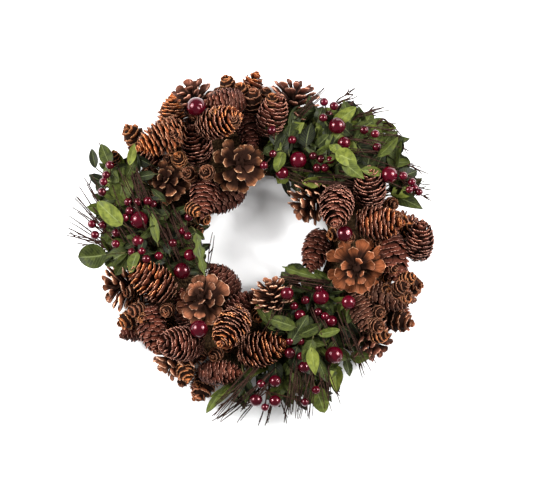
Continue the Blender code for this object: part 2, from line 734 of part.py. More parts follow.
FINISHES = {
    "base": ("straw", (0.30, 0.20, 0.10), 0.9),
    "spruce": ("spruce_cone_scales", (0.30, 0.13, 0.06), 0.7),
    "pine": ("pine_cone_scales", (0.38, 0.20, 0.09), 0.7),
    "berry": ("berry_lacquer", (0.30, 0.01, 0.04), 0.2),
    "lone": ("berry_lacquer", (0.30, 0.01, 0.04), 0.2),
    "leaf": ("leaf_green", (0.13, 0.20, 0.06), 0.5),
    "twig": ("twig_bark", (0.10, 0.08, 0.07), 0.8),
}


def make_object(name, solid):
    """A Blender object of one solid, in metres."""
    mesh = bpy.data.meshes.new(name)
    mesh.from_pydata((solid.points * MM).tolist(), [], solid.faces)
    mesh.update()
    piece = bpy.data.objects.new(name, mesh)
    bpy.context.collection.objects.link(piece)
    return piece


def fuse(name, solids):
    """One object of solids that grow together, joined by a union on a collection."""
    piece = make_object(name, solids[0])
    if len(solids) > 1:
        parts = bpy.data.collections.new(f"{name}_parts")
        for number, solid in enumerate(solids[1:]):
            part = make_object(f"{name}_{number}", solid)
            bpy.context.collection.objects.unlink(part)
            parts.objects.link(part)
        union = piece.modifiers.new("join", "BOOLEAN")
        union.operation = "UNION"
        union.operand_type = "COLLECTION"
        union.solver = "MANIFOLD"
        union.collection = parts
        bpy.context.view_layer.update()
        joined = piece.evaluated_get(bpy.context.evaluated_depsgraph_get())
        mesh = bpy.data.meshes.new_from_object(joined)
        piece.modifiers.clear()
        piece.data = mesh
        for part in list(parts.objects):
            bpy.data.objects.remove(part)
        bpy.data.collections.remove(parts)
    kind = name.split("_")[0]
    piece.data.materials.clear()
    piece.data.materials.append(finish(*FINISHES[kind]))
    return piece


def centre_on_origin(pieces):
    """Shifts all the meshes so that the origin is under the middle of the wreath's box."""
    corners = [vertex.co for piece in pieces for vertex in piece.data.vertices]
    x = (min(c.x for c in corners) + max(c.x for c in corners)) / 2
    y = (min(c.y for c in corners) + max(c.y for c in corners)) / 2
    for piece in pieces:
        piece.data.transform(Matrix.Translation((-x, -y, 0)))


def main():
    for old in list(bpy.data.objects):
        bpy.data.objects.remove(old)
    chance = random.Random(SEED)
    pile = Pile()
    ring = straw_ring()
    pile.add("base_ring", ring)
    tracks = lay_tracks(pile)
    nodes = lay_cones(pile, chance)
    nodes.update(set_lone_berries(pile))
    nodes["base_ring"] = stand_small_cones(pile, ring)
    nodes.update(grow_clusters(pile, tracks))
    pieces = [fuse(name, solids) for name, solids in nodes.items()]
    centre_on_origin(pieces)


main()
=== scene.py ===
"""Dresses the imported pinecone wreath: fine cones, lacquered berries, veined leaves, twigs, straw.

Sizes are in millimetres and are turned into metres by MM. Places on the wreath are x and y from
the middle of its ring. Every cone is found again in the frame, so it lies where its solid lies.
"""

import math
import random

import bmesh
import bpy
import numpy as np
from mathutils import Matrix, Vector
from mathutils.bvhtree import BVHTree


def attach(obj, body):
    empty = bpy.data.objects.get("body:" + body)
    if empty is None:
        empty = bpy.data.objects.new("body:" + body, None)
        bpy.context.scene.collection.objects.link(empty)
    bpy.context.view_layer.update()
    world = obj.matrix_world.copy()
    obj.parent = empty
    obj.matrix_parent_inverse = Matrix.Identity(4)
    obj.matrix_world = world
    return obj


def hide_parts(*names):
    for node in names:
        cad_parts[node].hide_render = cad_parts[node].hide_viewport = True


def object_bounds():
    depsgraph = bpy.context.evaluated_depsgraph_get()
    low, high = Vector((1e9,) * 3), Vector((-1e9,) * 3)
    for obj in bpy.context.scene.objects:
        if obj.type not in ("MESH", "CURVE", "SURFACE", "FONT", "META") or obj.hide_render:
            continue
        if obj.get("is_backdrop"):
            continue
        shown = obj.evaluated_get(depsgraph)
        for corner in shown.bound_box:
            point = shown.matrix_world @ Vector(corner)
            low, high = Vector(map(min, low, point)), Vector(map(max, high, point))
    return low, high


bl_info = {
    "name": "Pinecone Wreath",
    "version": (1, 0, 0),
    "blender": (4, 5, 0),
    "location": "3D View > Sidebar > Wreath",
    "description": "Models the cones, berries, leaves, twigs and straw of a pinecone wreath",
    "category": "Add Mesh",
}

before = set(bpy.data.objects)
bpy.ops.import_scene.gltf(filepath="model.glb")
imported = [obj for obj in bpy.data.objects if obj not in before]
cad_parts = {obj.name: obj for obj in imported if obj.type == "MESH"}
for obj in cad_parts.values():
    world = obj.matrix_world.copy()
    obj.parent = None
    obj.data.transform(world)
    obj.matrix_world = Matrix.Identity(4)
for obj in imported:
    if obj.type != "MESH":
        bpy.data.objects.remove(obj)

CAD_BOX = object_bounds()
MM = 0.001
SEED = 27
GOLDEN_TURN = math.radians(137.508)     # from one scale to the next, where they lie in no rows

# The camera looks straight down, as in the photograph, where 1 pixel is 1 mm halfway up the wreath.
IMAGE_WIDTH, IMAGE_HEIGHT = 549, 497
RING_PIXEL = (262, 242)
CAMERA_HEIGHT = 2000
CONE_PLANE = 50
SENSOR = 36

# The cones that aren't of the plain kind, by their numbers, and the open ones with broad scales.
# The other open cones' scales are narrower, and there are more of them.
SPRUCE_KINDS = {
    "orange": (1, 2, 3, 5, 6, 21, 26, 28, 30, 33), "golden": (11, 29),
    "dark": (4, 7, 8, 9, 13, 16), "grey": (15, 18),
}
PINE_KINDS = {"bright": (11,), "dark": (1, 2, 5, 6), "pale": (3, 4, 7, 8, 12)}
BROAD_PINE = (9, 10, 11, 12)

# The small cones' tips, x, y and z, and their widths. The first table's are those that the ring's
# solid has too, a few millimetres off to match the photograph. The second's stand in clumps with
# those and fill the outline. The third's have no height here, and stand on what lies below them.
SMALL_CONES = (
    (-84, 86, 67, 17), (-9, 154, 52, 24), (-37, 168, 44, 18), (-57, 70, 78, 17),
    (-75, 70, 68, 17), (-52, 20, 44, 16), (133, 38, 44, 16), (64, 7, 53, 17),
    (146, -42, 71, 16), (118, -85, 76, 17), (-4, -78, 46, 17), (-50, -115, 59, 16),
    (-74, -141, 46, 20), (-135, -70, 55, 17), (-97, -70, 61, 16), (-146, -83, 44, 22),
)
FILLING_CONES = (
    (107, -80, 62, 16), (128, -92, 58, 17), (120, -72, 64, 15), (137, -50, 62, 15),
    (154, -34, 60, 16), (150, -52, 56, 16), (-138, 118, 40, 24), (163, -44, 38, 26),
    (154, -84, 36, 27), (156, 16, 42, 19), (-66, -161, 32, 26), (-90, 95, 50, 14),
    (-70, 124, 48, 16), (5, 156, 42, 15), (128, -37, 46, 14), (-117, 73, 40, 14),
    (-24, 160, 48, 18),
)
MORE_SMALL_CONES = (
    (0, 151, 14), (-16, 131, 15), (-47, 156, 14), (119, -2, 15), (-62, 27, 15), (-59, 10, 14),
    (-84, -146, 14), (-96, -86, 15), (136, 26, 14), (126, -48, 15), (134, -28, 14),
    (-36, -108, 14), (-120, -78, 14), (-22, -62, 14), (-150, 92, 14), (88, 4, 14),
    (-61, -118, 14), (-74, 119, 16), (-97, 86, 14), (11, 148, 16), (-40, 158, 16), (-88, 108, 15),
    (-137, -62, 15), (-128, -92, 15), (-66, -146, 15), (-140, -50, 14), (-112, -60, 15),
    (150, -58, 15), (146, -22, 16), (147, 26, 16), (120, -66, 15), (108, -56, 14), (-47, 128, 14),
    (-28, 122, 14),
)
SMALL_CONE_LENGTH, SMALL_CONE_WIDTH = 22, 17     # every one has this form, at its own width
SMALL_CONE_TILT = math.radians(72)
SMALL_CONE_LEAN = math.radians(36)
SMALL_CONE_EDGES = (72, 146)     # nearer to the middle and farther out, they lean over the edge

# Where each cluster's berries hang from, x and y, and its berries: x, y and radius.
HUBS = {
    "left": ((-126, 28), (-152, 60), (-156, 10), (-121, -12), (-78, 8)),
    "right": ((58, 82), (66, 128), (16, 92), (100, 102), (140, 62)),
    "bottom": ((60, -62), (32, -66), (34, -108), (5, -150), (70, -120)),
}
HUB_HEIGHT = 42
BERRIES = {
    "left": (
        (-123, 22, 9), (-124, 1, 6), (-72, -13, 6), (-152, 77, 4.5), (-156, 67, 4.2),
        (-158, 60, 4.2), (-160, 50, 4.5), (-134, 40, 4.2), (-124, 40, 4.3), (-114, 41, 4.2),
        (-109, 38, 4), (-132, 31, 4.3), (-137, 24, 4.3), (-170, 18, 4.5), (-159, 17, 4.3),
        (-167, 7, 4.5), (-146, 9, 4.5), (-146, -2, 4.3), (-130, -10, 4.3), (-120, -9, 4),
        (-115, -17, 4.3), (-103, -14, 4.3), (-73, 25, 4.5), (-79, 11, 4), (-74, 6, 4.2),
        (-89, -1, 4.3),
    ),
    "right": (
        (36, 82, 8.5), (75, 116, 8.5), (127, 67, 8.5), (82, 99, 6.5), (20, 69, 6.5),
        (10, 111, 4.5), (30, 102, 4.3), (11, 88, 4), (2, 76, 4.2), (51, 86, 4), (59, 83, 4.3),
        (68, 82, 4.3), (55, 74, 4.3), (63, 74, 4.3), (62, 140, 4.3), (72, 136, 4.5),
        (67, 128, 4.3), (61, 124, 4.3), (102, 112, 4.5), (113, 108, 4.3), (115, 95, 4.5),
        (141, 66, 4.3), (150, 60, 4), (153, 54, 4.2), (157, 50, 4), (147, 52, 3.8),
    ),
    "bottom": (
        (59, -55, 8), (86, -60, 7), (72, -113, 9), (25, -51, 6.5), (-6, -158, 6.5),
        (69, -79, 6), (42, -125, 6), (13, -159, 6), (13, -139, 6), (38, -73, 5.5),
        (28, -111, 5.5), (32, -64, 4.3), (57, -46, 4.3), (56, -70, 4.3), (63, -74, 4),
        (28, -99, 4.3), (38, -99, 4.3), (39, -114, 4.2), (-1, -142, 4.5), (3, -165, 4),
        (43, -160, 4.3), (54, -148, 4.3), (43, -58, 4.3),
    ),
}
LONE_BERRIES = ((-65, 134, 9.5), (-80, -29, 8.5), (-62, -86, 9), (82, 8, 8))

# Each leaf: x, y, bearing of its tip, length, width, shape, and tone from dark 0 to pale 1.
LEAVES = {
    "left": (
        (-140, 57, 80, 32, 24, "broad", 0.52), (-157, 87, 115, 24, 14, "narrow", 0.40),
        (-169, 84, 100, 20, 9, "narrow", 0.15), (-145, 84, 120, 22, 9, "narrow", 0.66),
        (-129, 87, 75, 22, 9, "narrow", 0.70), (-152, 28, 140, 34, 18, "broad", 0.62),
        (-135, 12, 130, 34, 18, "broad", 0.64), (-168, -15, 190, 28, 25, "broad", 0.34),
        (-147, -15, 200, 28, 19, "broad", 0.38), (-140, -23, 240, 24, 14, "broad", 0.45),
        (-107, 14, 100, 30, 9, "narrow", 0.55), (-97, 37, 95, 24, 9, "long", 0.38),
        (-82, 31, 20, 26, 9, "long", 0.30), (-62, -12, -80, 44, 13, "lobed", 0.46),
        (-92, -23, -70, 28, 11, "narrow", 0.50), (-150, 45, 150, 30, 12, "long", 0.48),
        (-128, -20, 250, 22, 12, "broad", 0.50), (-100, 2, 95, 24, 8, "narrow", 0.25),
        (-118, 28, 105, 26, 15, "broad", 0.36), (-136, -2, 175, 26, 16, "broad", 0.42),
        (-96, -8, 120, 22, 12, "broad", 0.40), (-150, 68, 130, 22, 13, "broad", 0.42),
        (-155, 66, 95, 22, 12, "narrow", 0.60), (-130, 75, 60, 26, 11, "long", 0.35),
    ),
    "right": (
        (23, 102, 170, 28, 15, "broad", 0.30), (18, 80, 250, 22, 13, "broad", 0.55),
        (31, 117, 130, 26, 16, "broad", 0.12), (50, 115, 110, 30, 20, "broad", 0.46),
        (56, 100, 175, 38, 17, "broad", 0.26), (73, 92, 150, 20, 10, "narrow", 0.62),
        (84, 84, -20, 24, 17, "broad", 0.66), (90, 71, -40, 28, 15, "long", 0.50),
        (54, 61, 5, 28, 12, "long", 0.78), (83, 126, 30, 28, 13, "broad", 0.64),
        (103, 92, 70, 24, 13, "broad", 0.56), (116, 82, 20, 34, 13, "long", 0.42),
        (126, 94, 40, 28, 10, "narrow", 0.48), (147, 42, -20, 36, 17, "long", 0.30),
        (24, 57, -75, 24, 8, "narrow", 0.05), (38, 94, 160, 24, 13, "broad", 0.40),
        (43, 128, 70, 24, 10, "narrow", 0.20), (110, 70, -10, 26, 10, "narrow", 0.55),
        (96, 104, 60, 24, 11, "broad", 0.30), (70, 62, -10, 26, 9, "narrow", 0.22),
        (136, 80, 0, 28, 10, "narrow", 0.45), (66, 110, 20, 22, 11, "broad", 0.22),
        (64, 88, 200, 26, 17, "broad", 0.45), (94, 96, 120, 24, 16, "broad", 0.40),
        (38, 76, 60, 24, 16, "broad", 0.42), (112, 90, 45, 26, 15, "broad", 0.34),
        (76, 74, -30, 26, 16, "broad", 0.52), (44, 104, 200, 24, 16, "broad", 0.50),
    ),
    "bottom": (
        (40, -32, 165, 42, 14, "lobed", 0.44), (2, -73, 130, 26, 9, "narrow", 0.45),
        (12, -68, 110, 22, 10, "broad", 0.35), (20, -80, 160, 28, 14, "broad", 0.40),
        (36, -88, 60, 34, 15, "broad", 0.28), (67, -90, 10, 22, 9, "broad", 0.52),
        (58, -101, 30, 18, 10, "broad", 0.78), (51, -118, 280, 28, 13, "long", 0.72),
        (75, -137, 280, 28, 14, "long", 0.68), (58, -158, 290, 28, 18, "broad", 0.50),
        (86, -72, -50, 24, 13, "broad", 0.74), (-17, -135, 205, 48, 10, "narrow", 0.52),
        (-40, -153, 225, 40, 11, "narrow", 0.44), (22, -130, 265, 34, 14, "long", 0.12),
        (16, -148, 240, 26, 15, "broad", 0.48), (86, -96, -70, 32, 8, "narrow", 0.15),
        (28, -47, 172, 32, 9, "lobed", 0.28), (-30, -146, 215, 34, 8, "narrow", 0.58),
        (48, -70, 200, 24, 11, "long", 0.35), (8, -82, 150, 24, 9, "narrow", 0.50),
        (66, -106, -20, 20, 10, "broad", 0.60), (92, -84, -60, 26, 8, "narrow", 0.48),
        (60, -128, 290, 26, 10, "narrow", 0.35), (30, -150, 275, 28, 9, "narrow", 0.30),
        (-2, -128, 200, 34, 9, "narrow", 0.50), (-22, -143, 215, 36, 9, "narrow", 0.42),
        (-38, -150, 200, 30, 8, "narrow", 0.55), (-48, -160, 235, 28, 9, "narrow", 0.48),
        (10, -124, 205, 30, 8, "narrow", 0.45), (48, -88, 20, 24, 13, "broad", 0.34),
        (74, -98, 300, 22, 12, "broad", 0.42), (46, -108, 250, 24, 13, "broad", 0.38),
        (30, -62, 140, 26, 12, "broad", 0.34), (70, -68, 330, 24, 12, "broad", 0.40),
    ),
}

# Where leaves grow densely under those: x, y, radius and number.
THICKETS = {
    "left": (
        (-142, 62, 24, 26), (-124, 72, 12, 10), (-142, 30, 26, 30), (-118, 40, 16, 16),
        (-142, -4, 24, 24), (-108, 8, 26, 28), (-78, 14, 20, 18), (-76, -14, 18, 16),
        (-122, -16, 14, 12),
    ),
    "right": (
        (24, 112, 18, 18), (20, 84, 18, 18), (50, 110, 24, 26), (46, 76, 20, 20),
        (76, 116, 24, 24), (76, 84, 24, 24), (106, 104, 24, 24), (102, 78, 18, 16),
        (130, 84, 18, 16), (140, 62, 12, 8),
    ),
    "bottom": (
        (34, -48, 20, 20), (18, -76, 18, 16), (38, -38, 12, 14), (64, -44, 12, 10),
        (41, -141, 11, 10), (62, -56, 22, 22), (46, -84, 24, 26),
        (78, -82, 24, 26), (58, -112, 24, 26), (84, -112, 16, 14), (30, -122, 22, 22),
        (14, -146, 18, 16), (46, -148, 20, 18), (-18, -146, 16, 12), (66, -144, 14, 10),
    ),
}

# Twigs from the greenery outwards: x and y of both ends.
TWIGS = {
    "left": (
        (-162, -3, -192, 14), (-162, -1, -193, 7), (-160, 2, -190, 26), (-159, 10, -186, 44),
        (-156, 17, -182, 55), (-158, 7, -182, 30), (-150, 27, -169, 67), (-154, 24, -177, 65),
        (-157, -6, -184, -1), (-158, 12, -188, 35), (-148, 60, -162, 100), (-160, -2, -188, 11),
        (-152, 20, -174, 58), (-57, -33, -50, 10),
    ),
    "right": (
        (78, 144, 93, 152), (78, 140, 96, 145), (83, 139, 100, 136), (100, 130, 121, 134),
        (98, 127, 126, 131), (93, 120, 133, 118), (125, 123, 139, 106), (126, 106, 138, 97),
        (134, 112, 144, 87), (134, 84, 165, 68), (156, 48, 166, 43), (148, 57, 167, 51),
        (100, 116, 130, 112), (118, 88, 158, 74),
    ),
    "bottom": (
        (-7, -153, -42, -179), (0, -150, -25, -178), (6, -153, -4, -182), (13, -148, 6, -176),
        (10, -156, 3, -182), (18, -153, 24, -181), (88, -88, 99, -135), (63, -128, 76, -153),
        (-20, -158, -50, -178), (-28, -154, -50, -172), (28, -148, 22, -180), (90, -100, 102, -132),
    ),
}

# Bundles of thin dry stems along and across the ring: x and y of both ends, number and spread.
STRANDS = {
    "left": (
        (-132, 84, -116, 30, 10, 3), (-122, 50, -92, -8, 10, 5), (-102, 30, -76, -26, 9, 5),
        (-132, 50, -104, 0, 6, 5), (-144, 72, -124, 24, 6, 5), (-92, 34, -72, -8, 6, 4),
        (-152, 30, -122, -14, 6, 6), (-84, 30, -60, -20, 5, 4),
    ),
    "right": (
        (14, 74, 58, 58, 7, 4), (38, 62, 96, 57, 8, 3), (60, 72, 110, 62, 6, 5),
        (34, 122, 60, 149, 7, 3), (70, 96, 126, 92, 8, 5), (84, 112, 130, 100, 7, 5),
        (110, 76, 152, 62, 6, 4), (30, 96, 84, 110, 6, 8),
    ),
    "bottom": (
        (22, -34, 78, -44, 10, 4), (30, -50, 10, -98, 6, 5), (48, -60, 76, -114, 8, 6),
        (76, -66, 100, -124, 9, 4), (36, -112, 32, -174, 11, 4), (52, -120, 42, -172, 8, 4),
        (14, -126, -22, -162, 7, 4), (62, -120, 70, -162, 6, 4), (0, -116, -46, -168, 8, 4),
    ),
}

CLUSTERS = ("left", "right", "bottom")


def read(items, field, width=1, kind=float):
    """A field of some items of a mesh, in rows if each item has more than one value."""
    values = np.empty(len(items) * width, dtype=kind)
    items.foreach_get(field, values)
    return values.reshape(-1, width) if width > 1 else values


def node_points(node):
    """The corners of a CAD node, each once."""
    return np.unique(read(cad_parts[node].data.vertices, "co", 3).round(6), axis=0)


def nodes_of(kind):
    """The CAD nodes whose names start alike, in the order of their names."""
    return [node for node in sorted(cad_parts) if node.startswith(kind)]


def ring_middle():
    """The middle of the ring's flat back."""
    points = node_points("base_ring")
    return Vector(points[points[:, 2] < 0.1 * MM].mean(axis=0))


RING = ring_middle()
ROOT_OUT, ROOT_HEIGHT = (84, 112), 17       # where stems end inside the ring


def spot(x, y, z=0.0):
    """A place in the row frame from its millimetres on the wreath."""
    return Vector((RING.x + x * MM, RING.y + y * MM, z * MM))


def into_ring(place):
    """The nearest place to another that lies inside the ring."""
    out = Vector((place.x - RING.x, place.y - RING.y, 0))
    inside = out.normalized() * min(max(out.length, ROOT_OUT[0] * MM), ROOT_OUT[1] * MM)
    return Vector((RING.x + inside.x, RING.y + inside.y, ROOT_HEIGHT * MM))


class Relief:
    """Some CAD nodes seen from above: how high they reach at a place."""

    def __init__(self, nodes):
        points, faces = [], []
        for node in nodes:
            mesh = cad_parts[node].data
            first = len(points)
            points += [vertex.co.copy() for vertex in mesh.vertices]
            faces += [tuple(first + i for i in face.vertices) for face in mesh.polygons]
        self.tree = BVHTree.FromPolygons(points, faces)

    def top(self, place):
        """The highest surface over a place, or None."""
        hit = self.tree.ray_cast(Vector((place.x, place.y, 1)), Vector((0, 0, -1)))[0]
        return hit.z if hit else None

    def near(self, place):
        """The height of the nearest surface to a place."""
        return self.tree.find_nearest(place)[0].z


SOLIDS = Relief(nodes_of(""))


def deselect():
    bpy.ops.object.select_all(action="DESELECT")


def choose(mesh, numbers):
    """Selects these vertices, and nothing else, in edit mode."""
    shape = bmesh.from_edit_mesh(mesh)
    shape.verts.ensure_lookup_table()
    for group in (shape.faces, shape.edges, shape.verts):
        for element in group:
            element.select_set(False)
    for number in numbers:
        shape.verts[number].select_set(True)
    shape.select_flush(True)
    bmesh.update_edit_mesh(mesh)


class Master:
    """The mesh of a shape that is modelled once, ready to be copied into pieces."""

    def __init__(self, points, corners, sizes, uv):
        self.points, self.corners, self.sizes, self.uv = points, corners, sizes, uv

    @classmethod
    def of(cls, piece):
        """The mesh of an object, which is then removed."""
        mesh = piece.data
        master = cls(
            read(mesh.vertices, "co", 3), read(mesh.loops, "vertex_index", kind=int),
            read(mesh.polygons, "loop_total", kind=int), read(mesh.uv_layers.active.data, "uv", 2),
        )
        bpy.data.objects.remove(piece)
        return master


PENULTIMATE = 0.45      # how much of a blade's setback the row before its last gets


def model_blade(rows, columns, arch, setback):
    """A thin blade shaped row by row from a grid, such as a cone's scale or a leaf.

    Each row has its place along the blade, its half width, and the heights of its back and face.
    The sides drop by the arch, and the last rows' sides stay back by the setback.
    """
    deselect()
    bpy.ops.mesh.primitive_grid_add(x_subdivisions=columns, y_subdivisions=len(rows) - 1, size=2)
    blade = bpy.context.object
    bpy.ops.object.mode_set(mode="EDIT")
    bpy.ops.mesh.select_all(action="SELECT")
    bpy.ops.mesh.extrude_region_move(TRANSFORM_OT_translate={"value": (0, 0, 1)})
    shape = bmesh.from_edit_mesh(blade.data)
    shape.verts.index_update()
    last = len(rows) - 1
    places = {
        vertex.index: (
            round((vertex.co.x + 1) / 2 * columns), round((vertex.co.y + 1) / 2 * last),
            round(vertex.co.z),
        )
        for vertex in shape.verts
    }
    for row, (along, half, *levels) in enumerate(rows):
        for side, level in enumerate(levels):
            choose(blade.data, [n for n, place in places.items() if place[1:] == (row, side)])
            bpy.ops.transform.resize(value=(half, 1, 1))
            bpy.ops.transform.translate(value=(0, along - (2 * row / last - 1), level - side))
    for column in range(columns + 1):
        bow = (2 * column / columns - 1) ** 2
        if not bow:
            continue
        choose(blade.data, [n for n, place in places.items() if place[0] == column])
        bpy.ops.transform.translate(value=(0, 0, -arch * bow))
        for row, share in ((last, 1.0), (last - 1, PENULTIMATE)):
            choose(blade.data, [n for n, place in places.items() if place[:2] == (column, row)])
            bpy.ops.transform.translate(value=(0, -setback * bow * share, 0))
    bpy.ops.mesh.select_all(action="SELECT")
    bpy.ops.mesh.normals_make_consistent(inside=False)
    bpy.ops.object.mode_set(mode="OBJECT")
    return Master.of(blade)


def model_core(sides, rings):
    """The spindle inside a cone, of radius 1 and half length 1, dark with the scales' painted root
    shade.
    """
    deselect()
    bpy.ops.mesh.primitive_uv_sphere_add(segments=sides, ring_count=rings, radius=1)
    core = Master.of(bpy.context.object)
    # Its UV lies at the scales' root, so it takes their painted shade.
    core.uv[:] = (0.5, 0.0)
    return core


LEAST_HEIGHT = 0.2      # of a copy's lowest point over the wreath's back


def assemble(name, parts):
    """One mesh object of many copies. A part is a master, 4×4 places and a tone for each place.

    A copy that would reach below the wreath's back is lifted on to its plane.
    """
    points, corners, sizes, uvs, tones = [], [], [], [], []
    first = 0
    for master, places, part_tones in parts:
        places = np.asarray(places, dtype=float)
        copies = np.einsum("kij,nj->kni", places[:, :3, :3], master.points)
        copies += places[:, None, :3, 3]
        low = copies[:, :, 2].min(axis=1)
        copies[:, :, 2] += np.maximum(LEAST_HEIGHT * MM - low, 0)[:, None]
        count, size = len(places), len(master.points)
        points.append(copies.reshape(-1, 3))
        starts = first + size * np.arange(count)
        corners.append((master.corners[None, :] + starts[:, None]).ravel())
        sizes.append(np.tile(master.sizes, count))
        uvs.append(np.tile(master.uv, (count, 1)))
        tones.append(np.repeat(part_tones, size))
        first += count * size
    sizes = np.concatenate(sizes)
    mesh = bpy.data.meshes.new(name)
    mesh.vertices.add(first)
    mesh.vertices.foreach_set("co", np.concatenate(points).ravel())
    mesh.loops.add(int(sizes.sum()))
    mesh.loops.foreach_set("vertex_index", np.concatenate(corners))
    mesh.polygons.add(len(sizes))
    mesh.polygons.foreach_set("loop_start", np.concatenate(([0], sizes.cumsum()[:-1])))
    mesh.update(calc_edges=True)
    mesh.uv_layers.new(name="UVMap").data.foreach_set("uv", np.concatenate(uvs).ravel())
    mesh.attributes.new("tone", "FLOAT", "POINT").data.foreach_set("value", np.concatenate(tones))
    piece = bpy.data.objects.new(name, mesh)
    bpy.context.collection.objects.link(piece)
    smooth(piece)
    return piece


def make_active(piece):
    """Selects a piece alone, and makes it the active one."""
    deselect()
    piece.select_set(True)
    bpy.context.view_layer.objects.active = piece


def smooth(piece, angle=50):
    """Shades a piece smooth, apart from edges that are sharper than an angle in degrees."""
    make_active(piece)
    bpy.ops.object.shade_smooth_by_angle(angle=math.radians(angle))


def hand_over(piece, slot, material, *nodes):
    """Gives a piece its material, hangs it from the root body, and hides the CAD nodes that it
    stands for.
    """
    piece.data.materials.clear()
    piece.data.materials.append(material)
    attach(piece, "root")
    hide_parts(*nodes)


def draw_stems(name, paths, sides=6):
    """Round stems as one mesh: each path is its points and the radius at each, in millimetres."""
    curve = bpy.data.curves.new(name, "CURVE")
    curve.dimensions = "3D"
    curve.bevel_depth = MM
    curve.bevel_resolution = (sides - 4) // 2
    curve.use_fill_caps = True
    curve.resolution_u = 3
    for points, radii in paths:
        spline = curve.splines.new("NURBS")
        spline.points.add(len(points) - 1)
        for knot, point, radius in zip(spline.points, points, radii):
            knot.co = (*point, 1)
            knot.radius = radius
        spline.order_u = min(3, len(points))
        spline.use_endpoint_u = True
    stems = bpy.data.objects.new(name, curve)
    bpy.context.collection.objects.link(stems)
    make_active(stems)
    bpy.ops.object.convert(target="MESH")
    stems = bpy.context.object
    smooth(stems)
    return stems


def add(tree, kind, inputs=None, **settings):
    """A new node with its settings, and its inputs linked or set."""
    new = tree.nodes.new(kind)
    for key, value in settings.items():
        setattr(new, key, value)
    for key, value in (inputs or {}).items():
        if isinstance(value, bpy.types.NodeSocket):
            tree.links.new(value, new.inputs[key])
        else:
            new.inputs[key].default_value = value
    return new


def maths(tree, operation, first, second=0.0):
    return add(tree, "ShaderNodeMath", {0: first, 1: second}, operation=operation).outputs[0]


def times(tree, first, second):
    return maths(tree, "MULTIPLY", first, second)


def ramp(tree, value, low, high, out_low=0.0, out_high=1.0):
    """A smooth step from one value to another."""
    return add(tree, "ShaderNodeMapRange", {
        "Value": value, "From Min": low, "From Max": high, "To Min": out_low, "To Max": out_high,
    }, interpolation_type="SMOOTHSTEP").outputs[0]


def from_noise(tree, noise, low=0.0, high=1.0):
    """A value that follows a noise, over the range in which most of the noise lies."""
    return ramp(tree, noise, 0.3, 0.7, low, high)


def blend(tree, share, first, second):
    """A mix of two colours."""
    return add(tree, "ShaderNodeMix", {0: share, 6: first, 7: second}, data_type="RGBA").outputs[2]


def opaque(colour):
    return (*colour, 1.0)


def own_tone(tree):
    """The tone of the copy that a point belongs to, from 0 to 1."""
    return add(tree, "ShaderNodeAttribute", attribute_name="tone").outputs["Fac"]


def on_blade(tree):
    """A point's UV on its blade, how far it is aside of the middle, and how far along."""
    uv = add(tree, "ShaderNodeUVMap").outputs[0]
    across, along, _ = add(tree, "ShaderNodeSeparateXYZ", {0: uv}).outputs
    return uv, maths(tree, "ABSOLUTE", maths(tree, "SUBTRACT", across, 0.5)), along


def streaks(tree, uv, across, along, tone):
    """Noise drawn out along a blade, different on every copy."""
    shift = add(tree, "ShaderNodeCombineXYZ", {0: times(tree, tone, 61.0)}).outputs[0]
    scaled = add(tree, "ShaderNodeVectorMath", {0: uv, 1: (across, along, 1)}, operation="MULTIPLY")
    place = add(tree, "ShaderNodeVectorMath", {0: scaled.outputs[0], 1: shift}, operation="ADD")
    return add(tree, "ShaderNodeTexNoise", {"Vector": place.outputs[0], "Scale": 1.0}).outputs[0]


class FinishGroup:
    """A shader group that makes a finish's colour, roughness and height from named inputs."""

    def __init__(self, name, colours, numbers):
        self.tree = bpy.data.node_groups.new(name, "ShaderNodeTree")
        for label in colours:
            self.tree.interface.new_socket(label, in_out="INPUT", socket_type="NodeSocketColor")
        for label in numbers:
            self.tree.interface.new_socket(label, in_out="INPUT", socket_type="NodeSocketFloat")
        self.tree.interface.new_socket("Color", in_out="OUTPUT", socket_type="NodeSocketColor")
        for label in ("Roughness", "Height"):
            self.tree.interface.new_socket(label, in_out="OUTPUT", socket_type="NodeSocketFloat")
        self.given = self.tree.nodes.new("NodeGroupInput").outputs

    def put_out(self, colour, roughness, height):
        """Ends the group with these."""
        result = self.tree.nodes.new("NodeGroupOutput").inputs
        for label, value in (("Color", colour), ("Roughness", roughness), ("Height", height)):
            self.tree.links.new(value, result[label])
        return self.tree


def scale_group():
    """A cone's woody scales: painted shade at the root, a streaked face, a pale rim that is partly
    painted highlight, and a tint towards the tip.
    """
    group = FinishGroup("Cone Scale", ("Shaded Root", "Face", "Rim", "Tip"), ("Face Start", "Rim Start"))
    tree, given = group.tree, group.given
    tone = own_tone(tree)
    uv, aside, along = on_blade(tree)
    # The rim at the lip and along the sides: partly the scale's own paler edge, partly a painted
    # highlight.
    side_rim = times(tree, ramp(tree, aside, 0.46, 0.49), ramp(tree, along, 0.62, 0.82))
    edge = maths(tree, "MAXIMUM", ramp(tree, along, given["Rim Start"], 0.98), side_rim)
    rim = times(tree, edge, ramp(tree, streaks(tree, uv, 4, 1, tone), 0.38, 0.58, 0.30, 1.0))
    noise = streaks(tree, uv, 11, 2.5, tone)
    # Darker towards the roots: painted shade, where each scale lies under the ones before it. lit
    # is where the face comes out of that shade.
    lit = ramp(tree, along, given["Face Start"], maths(tree, "ADD", given["Face Start"], 0.35))
    face = blend(tree, lit, given["Shaded Root"], given["Face"])
    colour = blend(tree, rim, face, given["Rim"])
    tint = blend(tree, ramp(tree, tone, 0.45, 0.95), (1, 1, 1, 1), given["Tip"])
    tinted = add(tree, "ShaderNodeVectorMath", {0: colour, 1: tint}, operation="MULTIPLY")
    value = times(tree, from_noise(tree, noise, 0.6, 1.3), ramp(tree, tone, 0, 1, 0.62, 1.3))
    varied = add(tree, "ShaderNodeHueSaturation", {
        "Value": value, "Color": tinted.outputs[0],
    }).outputs[0]
    worn = maths(tree, "SUBTRACT", ramp(tree, lit, 0, 1, 0.9, 0.5), times(tree, rim, 0.14))
    return group.put_out(varied, worn, noise)


